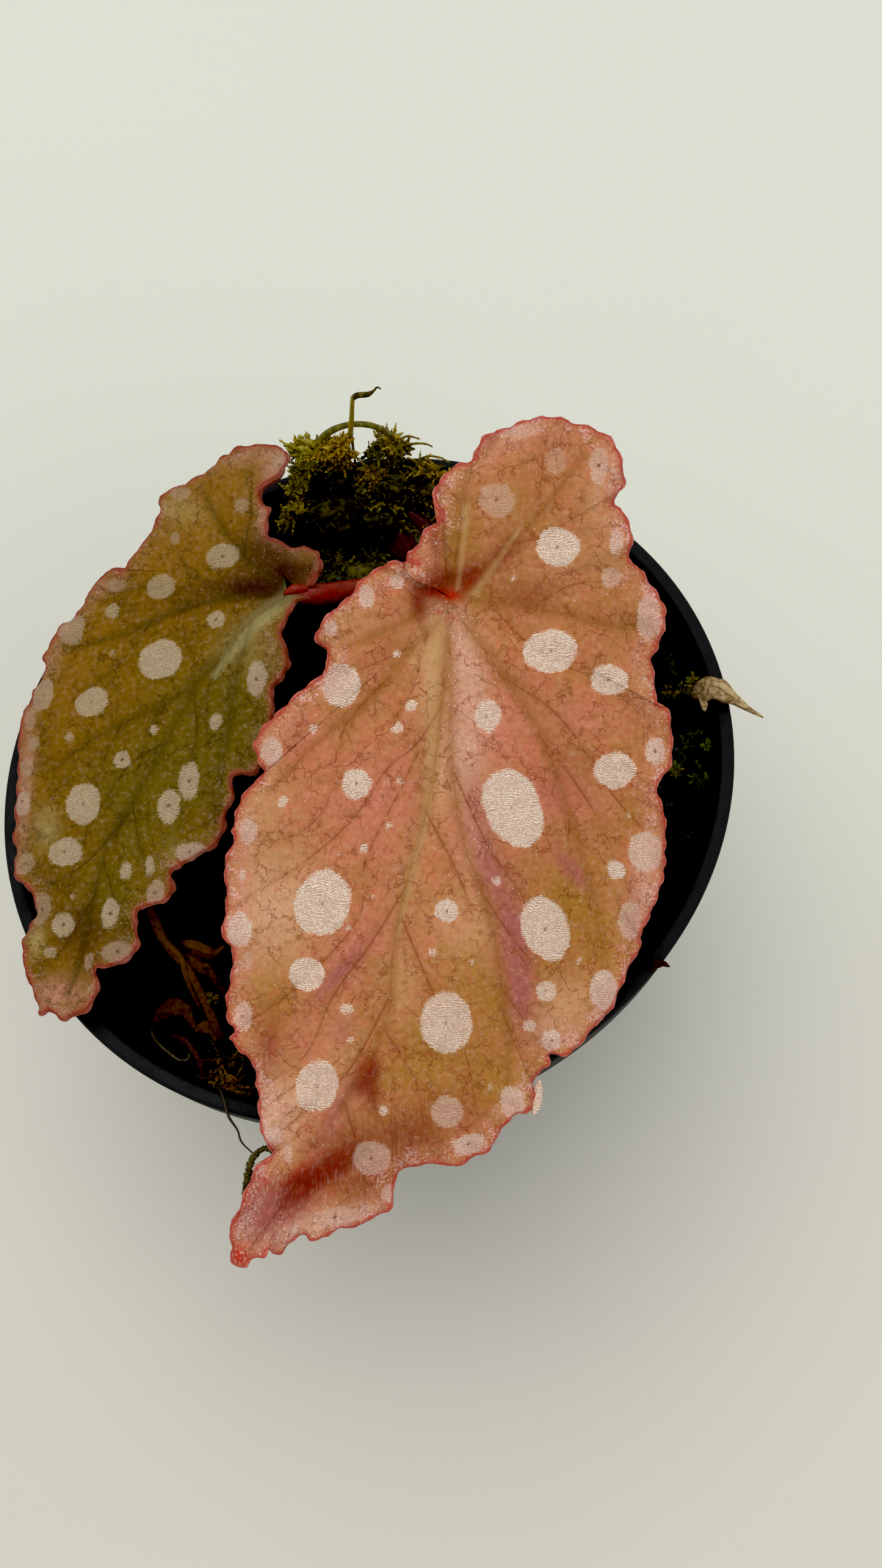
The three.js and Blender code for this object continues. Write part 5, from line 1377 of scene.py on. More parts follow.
def blade_part(leaf, settings):
    """A closed blade: the sheet on a fine grid, an upper and an under face that meet in a round margin,
    veins sunk into the one and standing out of the other."""
    roots, ends, share, along, outline = leaf_spokes(leaf, settings.rows_per_step)
    ends = toothed(ends, along)
    reach = np.linalg.norm(ends - roots, axis=1)[:, None]
    inner = np.linspace(0, 1, SPOKE_STEPS, endpoint=False)[None]
    s = np.concatenate((inner * (1 - NEAR_MARGIN[0] / reach), 1 - NEAR_MARGIN / reach), axis=1)
    x, y, z, inset = blade_sheet(leaf, roots, ends, share, along, s)
    flat = np.stack((x.ravel(), y.ravel()), -1)

    inset = inset.ravel()
    layers = blade_fields(leaf, flat, inset, outline)
    main, side, margin = layers["main_vein"], layers["side_vein"], layers["margin"]
    puff = 0.34 * smooth(np.minimum(main, side * 0.8), 0.6, 6.0) + 0.12 * ripples(flat, 2.6, 12) * smooth(margin, 0, 2)
    sunk = 0.22 * np.exp(-((main / 1.3) ** 2)) + 0.1 * np.exp(-((side / 1.5) ** 2))
    rib = 0.75 * np.exp(-((main / 1.5) ** 2)) + 0.3 * np.exp(-((side / 1.6) ** 2))

    knob_x, knob_y, swell = leaf["knob"]
    knob = swell * np.exp(-((flat[:, 0] - knob_x) ** 2 + (flat[:, 1] - knob_y) ** 2))
    taper = np.sqrt(1 - (1 - np.clip(inset / EDGE_ROUND, 0, 1)) ** 2)
    half = (settings.thickness / MM / 2 + knob * 0.5) * taper
    base = z.ravel() + puff - 0.12
    upper = base + half - sunk * taper
    under = base - half - (rib + 0.05) * taper * smooth(inset, 0.1, 2.0)
    sheet = np.concatenate((np.column_stack((flat, upper)), np.column_stack((flat, under))))

    layers = {name: np.tile(values, 2) for name, values in layers.items()}
    layers["upper"] = np.repeat((1.0, 0.0), len(flat))
    layers["place"] = np.column_stack((np.tile(flat, (2, 1)), np.repeat((0.0, UNDERSIDE_SHIFT), len(flat))))
    return welded(sheet @ plane_axes(leaf) + leaf["hub"], closed_faces(sheet, *s.shape), layers)


def turns_right(corners):
    """True if three corners run clockwise seen from above."""
    a, b, c = corners[:, :2]
    return (b - a)[0] * (c - a)[1] - (b - a)[1] * (c - a)[0] < 0


# The pale underside of the big leaf that shows where its lower right margin folds over.
PALE_FOLD = [(9.5, -50.2, -4.1), (9.35, -51.1, -4), (9.2, -52, -3.9), (9.05, -52.9, -3.4), (8.8, -53.6, -3)]


class BEGONIA_OT_big_leaf(bpy.types.Operator):
    """The large salmon-bronze blade with its silvery spots, veins and coral margin"""

    bl_idname = "begonia.big_leaf"
    bl_label = "Big leaf"

    def execute(self, context):
        look = context.scene.begonia_leaves
        skin = leaf_material("bronze blade", 0, look, look.hairs, look.glints)
        fold = [in_plane(BIG_LEAF, *place) for place in PALE_FOLD]
        points, faces, _ = tube(fold, FOLD_RADII, 30, 14, squash=0.8)
        far = ("main_vein", "pale_rib", "side_vein", "margin", "centre")
        layers = {name: np.full(len(points), 9.0) for name in far}
        whole = np.ones(len(points))
        layers.update(place=points, upper=whole, bright=whole, spot=-2 * whole)
        blade = joined(blade_part(BIG_LEAF, look), (points, faces, layers))
        add_piece("big_blade", blade, skin, ["blade_big"])
        return {"FINISHED"}


class BEGONIA_OT_left_leaf(bpy.types.Operator):
    """The olive-gold blade at the left, lower than the large one"""

    bl_idname = "begonia.left_leaf"
    bl_label = "Left leaf"

    def execute(self, context):
        look = context.scene.begonia_leaves
        skin = leaf_material("olive blade", 1, look, look.hairs * 0.5, look.glints * 0.4)
        add_piece("left_blade", blade_part(LEFT_LEAF, look), skin, ["blade_left"])
        return {"FINISHED"}


# ---------------------------------------------------------------- stalks, crown and buds


def rim(x, y, above):
    """A point given by its height above the rim."""
    return (x, y, POT_HEIGHT + above)


def above_rim(places):
    """Several such points."""
    return [rim(*place) for place in places]


def in_plane(leaf, x, y, z):
    """A point given in a leaf's own plane."""
    return tuple(np.array((x, y, z)) @ plane_axes(leaf) + leaf["hub"])


def stem_material(name, colour, stripe=(2.2, 2.2, 0.3)):
    """Juicy stalk: its colour with darker fibres along it, small pale pores and a soft gloss."""
    material, tree, shader = new_material(name, {"Specular IOR Level": 0.3})
    place = tree.place()
    fibre = tree.noise(tree.stretched(place, stripe), 1.0, 3)
    height, specks = tree.group(grain(), {"Place": place, "Size": 0.3})
    darker = tuple(0.35 * c for c in colour)
    lighter = tuple(min(1.0, 1.7 * c + 0.02) for c in colour)
    base = tree.mix(tree.fade(fibre, 0.4, 0.75, 0.7), tuple(colour), darker)
    base = tree.mix(tree.times(specks, 0.3), base, lighter)
    tree.feed(shader.inputs["Base Color"], base)
    tree.feed(shader.inputs["Roughness"], tree.plus(tree.fade(fibre, 0.3, 0.7, 0.2), 0.32))
    bumped(tree, shader, tree.plus(fibre, height), 0.15, 0.06)
    return material


class BEGONIA_OT_stalks(bpy.types.Operator):
    """The two red leaf stalks, the crown they stand in, the bud in its sheath and the young shoot"""

    bl_idname = "begonia.stalks"
    bl_label = "Stalks and buds"

    def execute(self, context):
        look = context.scene.begonia_leaves
        red = stem_material("red leaf stalk", tuple(look.petiole))
        maroon = stem_material("maroon sheath", tuple(look.maroon))
        big_seat, left_seat = -2.1, -(0.6 + 0.35 + PETIOLE_RADIUS)
        big_path = [*above_rim([(6.6, 22.8, -11), (6.9, 21.6, -3), (7.8, 17.6, 8)]),
                    in_plane(BIG_LEAF, 0, 0, big_seat - 5), in_plane(BIG_LEAF, 0, 0, big_seat)]
        left_path = [*above_rim([(2, 23.4, -11), (1.9, 22.8, -4), (0.4, 20.6, 4.5), (-3, 18.4, 8.8)]),
                     in_plane(LEFT_LEAF, 2.2, 0, left_seat - 0.4), in_plane(LEFT_LEAF, -0.2, 0, left_seat + 0.5)]
        big = stalk(big_path, STALK_RADII, 70, 28, 0.025, 5, twist=2.0)
        add_piece("big_stalk", big, red, ["petiole_big"])
        joint = [in_plane(LEFT_LEAF, *place) for place in ((1, 0.1, -0.9), (-0.4, 0, -0.4), (-1.6, -0.3, -0.6))]
        left = joined(stalk(left_path, STALK_RADII, 70, 28, 0.025, 5, twist=2.0), tube(joint, (0.4, 0.6, 0.25), 16, 20))
        add_piece("left_stalk", left, red, ["petiole_left"])

        crown = above_rim([(4.3, 24.2, -19), (4.3, 24.2, -12), (4.4, 24.3, -8)])
        crown = stalk(crown, (3.4, 4.6, 3.4), 30, 40, 0.06, 7, seed=7)
        add_piece("crown_stock", crown, maroon, ["crown"])
        bud = above_rim([(4.4, 26.4, -10), (4, 27.6, -7), (3.4, 29, -3.2), (3, 29.8, -0.5)])
        scale = above_rim([(5, 26.6, -9.5), (4.9, 27.7, -6.6), (4.4, 29.3, -3.6), (4.4, 30.4, -1.6)])
        bud = joined(
            stalk(bud, (1.0, 1.7, 1.6, 0.15), 40, 28, 0.05, 3, twist=1.5),
            stalk(scale, (0.7, 1.3, 1.2, 0.08), 34, 22, 0.05, 4, seed=9, squash=0.6),
        )
        add_piece("sheathed_bud", bud, maroon, ["bud"])
        shoot = above_rim([(7.4, 26.4, -10.5), (7.2, 29.6, -8), (6, 32.6, -5.2), (4, 34, -3.6)])
        shoot = stalk(shoot, (0.9, 0.95, 1.15, 0.4), 40, 24, 0.05, 3)
        add_piece("red_shoot", shoot, maroon, ["young_shoot"])
        return {"FINISHED"}


# ---------------------------------------------------------------- moss


def leafy(paths, per_shoot, length, stem, random, tone, lean=0.75, warmth=0.0):
    """Moss shoots: a thin stem along each path, with leaves set round it by the golden angle. A leaf
    points along the path plus lean times its side of the stem, and grows smaller towards the tip; the
    leaves nearer the foot are darker, a painted shade deep in the shoot."""
    paths = np.asarray(paths, float)
    count, steps = paths.shape[:2]
    tangent = unit(np.gradient(paths, axis=1))
    place = (np.arange(per_shoot) + 0.5) / per_shoot
    at = place * (steps - 1)
    low = np.minimum(at.astype(int), steps - 2)
    part = (at - low)[None, :, None]
    foot = paths[:, low] * (1 - part) + paths[:, low + 1] * part
    forward = unit(tangent[:, low] * (1 - part) + tangent[:, low + 1] * part)
    side = unit(np.cross(forward, random.normal(size=(count, 1, 3))))
    angle = (np.arange(per_shoot) * GOLDEN_ANGLE + random.uniform(0, TURN, (count, 1)))[..., None]
    radial = np.cos(angle) * side + np.sin(angle) * np.cross(forward, side)
    spread = lean * (1.15 - 0.7 * place)[None, :, None] * random.uniform(0.6, 1.4, (count, per_shoot, 1))
    out = unit(forward + spread * radial)
    width = unit(np.cross(out, forward))
    axes = np.stack((out, width, np.cross(out, width)), axis=-2).reshape(-1, 3, 3)
    axes[:, 1:] *= -1
    size = length * random.uniform(0.7, 1.25, (count, per_shoot)) * (1 - 0.35 * place)
    sizes = (size[..., None] * (0.85, 0.72, 0.6)).reshape(-1, 3)
    leaves = scattered(MOSS_LEAF, MOSS_LEAF_FACES, foot.reshape(-1, 3), axes, sizes)
    warmth = np.broadcast_to(warmth, count)
    shade = np.outer(tone, np.ones(per_shoot)) * (0.55 + 0.6 * place) + random.uniform(-0.13, 0.13, (count, per_shoot))
    layers = {"tone": shade.ravel(), "warmth": np.repeat(warmth, per_shoot)}
    leaves = (leaves[0], leaves[1], {key: np.repeat(value, len(MOSS_LEAF)) for key, value in layers.items()})
    stems = tubes(paths, np.linspace(stem, stem * 0.5, steps)[None], 4)
    layers = {"tone": tone * 0.6, "warmth": warmth}
    return joined(leaves, (*stems[:2], {key: np.repeat(value, steps * 4 + 2) for key, value in layers.items()}))


def grown_shoots(part, count, length, random, rise, wanted):
    """Short curved paths that grow out of a clump's skin: they leave along its normal, leaned at
    random, and droop at the end. Places are spread evenly over the skin's area where wanted holds."""
    points, faces, _ = part
    corners = points[faces[0]]
    area = np.cross(corners[:, 1] - corners[:, 0], corners[:, 2] - corners[:, 0])
    size = np.linalg.norm(area, axis=1) * wanted(corners.mean(1))
    chosen = random.choice(len(size), count, p=size / size.sum())
    a, b = random.uniform(0, 1, (2, count, 1))
    a, b = np.where(a + b > 1, 1 - a, a), np.where(a + b > 1, 1 - b, b)
    corner = corners[chosen]
    start = corner[:, 0] + a * (corner[:, 1] - corner[:, 0]) + b * (corner[:, 2] - corner[:, 0])
    out = unit(unit(area[chosen]) + random.normal(0, 0.4, (count, 3)) + (0, 0, rise))
    reach = length * random.uniform(0.5, 1.1, (count, 1))
    t = np.linspace(0, 1, 5)[None, :, None]
    sag = (0, 0, 0.45) * reach[:, None] * t**2
    turn = random.normal(0, 0.35, (count, 1, 3)) * reach[:, None] * t**2
    return (start - 0.25 * out)[:, None] + out[:, None] * reach[:, None] * t - sag + turn


def drawn_in(points, gap):
    """The points, drawn towards the axis where they would come nearer than gap to the wall inside it."""
    radius = np.linalg.norm(points[..., :2], axis=-1)
    height = points[..., 2]
    wall = inner_radius(height) * oval(points) - gap
    share = np.minimum(1, wall / np.maximum(radius, 1))
    return widened(points, np.where(height < POT_HEIGHT + 0.3, share, 1))


def tufts(rows, per_shoot, length, random):
    """Tufts of moss, each x, y, height above the rim, radius, number of shoots, tone and warmth. Shoots
    run outward from near the middle, most of them upward, and those that hang down get painted shade."""
    parts = []
    for x, y, above, radius, count, tone, warmth in rows:
        out = unit(random.normal(size=(count, 3)) + (0, -0.1, 0.45))
        reach = radius * random.uniform(0.5, 1.1, (count, 1, 1))
        t = np.linspace(0.1, 1, 5)[None, :, None]
        bend = random.normal(0, 0.3, (count, 1, 3)) * reach * t**2
        middle = np.array(rim(x, y, above)) + random.normal(0, 0.16 * radius, (count, 1, 3))
        paths = middle + out[:, None] * reach * t + bend - (0, 0, 0.3) * reach * t**2
        lit = tone * (0.45 + 0.7 * smooth(out[:, 2], -0.6, 0.7)) + random.normal(0, 0.06, count)
        warm = warmth + random.normal(0, 0.16, count)
        lit = np.clip(lit, *TONES)
        parts.append(leafy(drawn_in(paths, WALL_GAP), per_shoot, length, 0.1, random, lit, 0.75, warm))
    return joined(*parts)


def lumps(rows, seed):
    """Uneven cores within a clump: balls given by x, y, height above the rim, three half-sizes, tone
    and warmth."""
    parts = []
    for number, (x, y, above, *half, tone, warmth, _) in enumerate(rows):
        ball, faces, _ = tube([(0, 0, -1), (0, 0, -0.5), (0, 0, 0.5), (0, 0, 1)], (1, 1), 21, 28)
        ball[:, :2] *= np.sqrt(np.clip(1 - ball[:, 2:] ** 2, 0.004, 1))
        uneven = ripples(ball, 0.5, seed + number)
        points = ball * half * (1 + 0.16 * ripples(ball, 0.9, seed + number) + 0.1 * uneven)[:, None] + rim(x, y, above)
        layers = {"tone": tone * (0.7 + 0.6 * uneven), "warmth": np.full(len(points), warmth)}
        parts.append((drawn_in(points, 0.35), faces, layers))
    return joined(*parts)


def fuzz(rows, length, random):
    """Short shoots all over the cores: each stands on a ball's skin, leaned at random, and those that
    face down get painted shade."""
    parts = []
    for x, y, above, *half, tone, warmth, count in rows:
        out = unit(random.normal(size=(count, 3)))
        foot = out * half * 0.92 + rim(x, y, above)
        normal = unit(unit(out / half) + random.normal(0, 0.4, (count, 3)) + (0, 0, 0.3))
        t = np.linspace(0, 1, 4)[None, :, None]
        reach = random.uniform(0.4, 1.0, (count, 1, 1))
        paths = foot[:, None] + normal[:, None] * reach * t + random.normal(0, 0.25, (count, 1, 3)) * reach * t**2
        lit = tone * (0.5 + 0.6 * smooth(out[:, 2], -0.5, 0.8)) + random.normal(0, 0.05, count)
        warm = warmth + random.normal(0, 0.15, count)
        lit = np.clip(lit, *TONES)
        parts.append(leafy(drawn_in(paths, 0.4), 8, length, 0.08, random, lit, 0.8, warm))
    return joined(*parts)


# Cores are x, y, height above the rim, three half-sizes, tone, warmth and number of short shoots. Tufts
# are x, y, height above the rim, radius, number of shoots, tone and warmth. The rest are paths.
# A tone is painted light: low for cores and tufts deep in shade, high for those in full light.
BACK_CORES = [
    (-5.2, 36, 1.4, 2.6, 1.6, 2.2, 0.05, 0.3, 70), (-5.6, 33.2, -4.8, 3.8, 2.4, 5, 0.18, 0.3, 180),
    (1.2, 36, -1.2, 3, 1.4, 1.8, 0.2, 0.4, 100), (0.6, 33.2, -6.8, 3.4, 2, 4.2, 0.16, 0.2, 120),
    (6.6, 35.6, -2, 2.6, 1.2, 1.8, 0.3, 0.6, 110), (-9, 33, -3.8, 1.8, 1.6, 3.4, 0.1, 0.3, 60),
    (-2.6, 28.6, -10.4, 4.6, 3, 2.4, 0.3, 0, 130), (5.6, 32, -7.6, 3, 2.2, 3, 0.22, 0.4, 90),
    (-7.8, 37.6, 5.2, 1.5, 1.1, 1.8, 0.9, 0.15, 80), (-8, 36.7, 3, 1.3, 1, 1.8, 0.8, 0.15, 60),
    (-8.2, 35.3, 0.9, 1.1, 0.9, 1.5, 0.6, 0.15, 40), (-5, 37.5, 5, 1.9, 1.1, 1.6, 0.75, 0.9, 90),
    (-4.7, 37.1, 3.2, 1.6, 1, 1.3, 0.55, 1, 60), (-9.2, 33.3, -1.4, 1.1, 0.9, 1.5, 1.1, 0.35, 50),
    (-10.2, 32.7, -2.6, 0.8, 0.7, 1.1, 1, 0.35, 30), (1.4, 38.9, 5, 1.1, 0.7, 0.9, 0.6, 0.5, 36),
    (2.6, 38, 3.9, 1, 0.8, 1.1, 0.5, 0.3, 36), (-0.2, 38, 3.5, 0.9, 0.6, 0.6, 0.4, 0.2, 22),
    (5.9, 37.4, 0.1, 1.6, 0.7, 0.8, 0.4, 0.6, 40), (8, 36.9, 0.1, 1.4, 0.6, 0.7, 0.4, 0.6, 30),
    (-1.4, 35.6, -1, 1.3, 0.8, 0.8, 0.5, 0.1, 30), (0.2, 36.6, 0.2, 1, 0.8, 0.8, 0.6, 0.8, 24),
    (-3.6, 34.4, -2.6, 1.5, 0.9, 0.8, 0.45, 0.5, 30), (5.2, 36.2, -2, 1.8, 0.8, 0.7, 0.45, 0.6, 36),
    (-6.2, 33.9, -3.4, 1.5, 0.9, 0.9, 0.45, 0.4, 28),
]
BACK_TUFTS = [
    (-8.4, 37.2, 5.6, 1.7, 40, 0.9, 0.05), (-7.6, 36.4, 3.4, 1.5, 30, 0.8, 0.05), (-8.8, 36, 2.4, 1.3, 22, 0.8, 0),
    (-3.6, 37.8, 6, 1.9, 40, 1, 1), (-5.6, 37.6, 5.4, 1.7, 36, 0.9, 0.8), (-4, 37.4, 3.4, 1.6, 30, 0.75, 1),
    (-2.9, 37.6, 4.4, 1.2, 18, 0.85, 0.9), (-8.2, 35.2, 0.6, 1.4, 22, 0.75, 0.1), (-9.6, 34.4, 0.6, 1.3, 20, 0.7, 0.1),
    (-9.2, 33, -1, 1.4, 26, 1.1, 0.35), (-10.4, 32.2, -2.6, 1.2, 18, 1, 0.35), (-8.2, 33.4, -2.6, 1.2, 14, 0.7, 0.6),
    (2.4, 38.8, 5.2, 1.5, 26, 0.85, 0.5), (3.6, 38.6, 4, 1.1, 12, 0.5, 0.6), (0.9, 38.2, 3.8, 1.2, 14, 0.6, 0.1),
    (1.4, 37.6, 2.2, 1.1, 12, 0.4, 0.1), (-0.4, 37, 1, 1.6, 26, 0.8, 0.9), (-1.8, 36.6, 0.2, 1.3, 14, 0.5, 0.7),
    (5.4, 37.2, 0.6, 1.7, 26, 0.7, 0.5), (7.6, 36.9, 0.6, 1.5, 22, 0.7, 0.6), (9.2, 36.2, 0.2, 1.3, 14, 0.65, 0.5),
    (3.4, 36.2, -1.4, 1.5, 18, 0.6, 0.6), (5.6, 35.4, -2.4, 1.8, 22, 0.7, 0.5), (8, 35, -2.2, 1.5, 14, 0.6, 0.6),
    (1.2, 35, -2.2, 1.6, 26, 0.95, 0.05), (2.6, 34.6, -3.6, 1.5, 16, 0.7, 0.2), (-0.6, 34.8, -3.4, 1.5, 16, 0.6, 0.1),
    (-3.4, 34.4, -4, 2.2, 34, 0.75, 0.3), (-6.2, 32.8, -5.4, 2.2, 28, 0.7, 0.4), (-5.6, 35.8, 0, 1.6, 16, 0.45, 0.3),
    (-1, 33, -5.6, 1.8, 18, 0.6, 0.1), (3, 33.4, -5.4, 1.8, 16, 0.5, 0.1), (-4, 29.4, -8.6, 2.4, 34, 0.45, 0),
    (0, 29.8, -8.4, 2.2, 30, 0.45, 0), (6, 33, -5.4, 2, 26, 0.6, 0.5),
]
BACK_WISPS = [
    ((2.4, 38.9, 3.6), (3.2, 39.2, 5), (4, 39.3, 5.4), (4.6, 39.4, 5), (5.2, 39.4, 4.6)),
    ((3.2, 39, 2.6), (4.4, 39.2, 3.6), (5.4, 39.2, 3.8), (6.2, 39.2, 3.6), (6.8, 39.2, 3)),
    ((5.4, 38.4, 1.4), (6.4, 38.4, 2.2), (7.2, 38.2, 2.4), (8, 38.2, 2), (8.8, 38, 1.2)),
    ((-8.6, 36.6, 6), (-9.2, 36.2, 6.6), (-9.8, 36, 6.6), (-10.2, 35.8, 6.2), (-10.6, 35.6, 5.6)),
    ((-9, 35, 0), (-9.6, 33.6, -0.8), (-10.2, 32.6, -1.8), (-10.6, 31.8, -2.8), (-11, 31, -3.8)),
    ((-2.4, 38.6, 6.4), (-2.4, 38.6, 4), (-2.3, 38.4, 1.6), (-2.2, 37.8, -0.4), (-2, 37.2, -2)),
]
SIDE_TUFTS = [
    (34.2, 11.7, -5, 0.8, 12, 0.55, 0.5), (35.6, 11.3, -4, 0.9, 14, 0.6, 0.7), (36.7, 12.2, -2.6, 0.8, 12, 0.7, 0.6),
    (36.6, 11, -1.8, 0.8, 12, 0.7, 0.7), (35.6, 16.4, -8, 1.6, 12, 0.4, 0.4), (37.4, 17, -7, 1.2, 8, 0.35, 0.4),
    (36.5, 5.8, -6.5, 1.2, 12, 0.5, 0.1), (37.4, 6.3, -5, 1, 8, 0.5, 0.1), (38.2, 4.3, -3, 1.1, 10, 0.55, 0.2),
    (34.6, 2.5, -6, 1.1, 12, 0.7, 0.5), (37.6, 1.5, -5, 1.4, 14, 0.5, 0.1), (36.2, 1.3, -8, 1.4, 12, 0.45, 0),
    (34.7, 0.8, -8.5, 1.2, 10, 0.45, 0.2), (38.2, 0.5, -4, 1, 8, 0.45, 0), (37, -0.8, -8, 1.4, 12, 0.45, 0.1),
    (36, -2.6, -8.5, 1.4, 12, 0.4, 0), (36.8, -4.4, -8, 1.2, 10, 0.4, 0.1), (34.9, -5.1, -9.5, 1.2, 10, 0.35, 0),
]
FRONT_TUFTS = [
    (-15.8, -34.1, -3.4, 1.9, 18, 0.8, 0.6), (-14.4, -34.7, -3, 1.8, 16, 0.8, 0.8),
    (-16.6, -34.9, -3, 1.2, 8, 0.7, 0.5), (-13.4, -35.6, -3, 1.6, 10, 0.6, 0.6), (-15.5, -31.7, -5, 2, 12, 0.6, 0.7),
    (-17.6, -24.6, -6, 0.9, 7, 0.75, 0.3),
]
ARCH = [(-7.4, 37.2, 4.6), (-5.4, 38.4, 7.4), (-3, 39, 8.6), (-0.6, 38.9, 8.9), (1.2, 38.8, 7.8), (2.4, 38.8, 5.8)]
SETA = [(-2.6, 38.8, 6.4), (-2.2, 38.4, 12), (-1.9, 37.6, 17), (-1.7, 37.5, 17.9)]
CAPSULE = [
    (-1.8, 37.5, 17.6), (-1.3, 37.4, 18.4), (-0.2, 37.3, 18.8), (0.5, 37.4, 19.4), (0.9, 37.4, 20.2), (1.3, 37.3, 20),
]


class BEGONIA_OT_moss(bpy.types.Operator):
    """The three moss clumps: leafy tufts round dark cores, the arching strand and the seta"""

    bl_idname = "begonia.moss"
    bl_label = "Moss"

    def execute(self, context):
        look = context.scene.begonia_moss
        length = look.leaf / MM
        golden = self.skin("golden moss", look.dark, look.green, look.ochre)
        self.back(length, golden)
        green = self.skin("dark green moss", (0.004, 0.009, 0.002), (0.13, 0.16, 0.008), (0.3, 0.2, 0.01))
        self.side("dark_moss_clump", "moss_right", "dark_moss", length, 110, 31, green, SIDE_TUFTS)
        brown = self.skin("brown moss", (0.012, 0.006, 0.002), (0.16, 0.12, 0.012), (0.22, 0.1, 0.016))
        self.side("olive_moss_clump", "moss_front", "olive_moss", length * 0.9, 60, 37, brown, FRONT_TUFTS)
        return {"FINISHED"}

    def skin(self, name, dark, green, ochre):
        """Moss leaves: from shade to sunlit by each leaf's tone, from green to ochre by its warmth."""
        green = tuple(green)
        return rough_material(name, tuple(dark), green, green, 0.7, 0.8, 0.3, warm=tuple(ochre), gloss=0.15)

    def strand(self, places, radii, tone, warmth):
        """A smooth bare strand of the clump."""
        part = stalk(above_rim(places), radii, 40, 10, 0.06, 2)
        return (*part[:2], {"tone": np.full(len(part[0]), tone), "warmth": np.full(len(part[0]), warmth)})

    def back(self, length, skin):
        random = np.random.default_rng(17)
        wisps = np.array([curve(above_rim(wisp), 9) for wisp in BACK_WISPS])
        leaves = leafy(wisps, 16, length * 0.7, 0.2, random, np.full(len(wisps), 0.7), 0.5, 0.6)
        short = fuzz(BACK_CORES, length * 0.7, random)
        clump = joined(
            lumps(BACK_CORES, 41), tufts(BACK_TUFTS, 12, length * 0.8, random), leaves,
            self.strand(ARCH, (0.4, 0.42, 0.36, 0.34, 0.34, 0.3), 0.35, 0.1),
            leafy(curve(above_rim(ARCH), 12)[None], 16, length * 0.6, 0.2, random, np.array([0.5])),
            self.strand(SETA, (0.38, 0.3, 0.28, 0.32), 0.8, 0.3),
            self.strand(CAPSULE, (0.3, 0.36, 0.32, 0.14, 0.1, 0.08), 0.2, 1.0),
        )
        add_piece("golden_moss_clump", clump, skin, ["moss_back"])
        add_piece("golden_moss_shoots", short, skin, ["moss_back"])

    def side(self, name, node, slot, length, count, seed, skin, rows):
        random = np.random.default_rng(seed)
        clump = solid_of(node)
        # The clump's own solid is painted near black, as shade deep inside the clump.
        clump[2]["tone"] = np.full(len(clump[0]), 0.03)
        paths = grown_shoots(clump, count, 2.0, random, 0.3, lambda centre: centre[:, 2] > SOIL - 1)
        above = paths[:, 2, 2] - POT_HEIGHT
        # Painted shade: shoots lower in the pot are darker.
        tone = 0.1 + 0.3 * smooth(above, -8, -1) + 0.2 * ripples(paths[:, 2], 3.0, seed)
        shoots = leafy(drawn_in(paths, WALL_GAP), 12, length, 0.08, random, np.clip(tone, 0.02, 1))
        add_piece(name, joined(clump, shoots, tufts(rows, 12, length, random)), skin, [node])


# ---------------------------------------------------------------- strands and dead bits

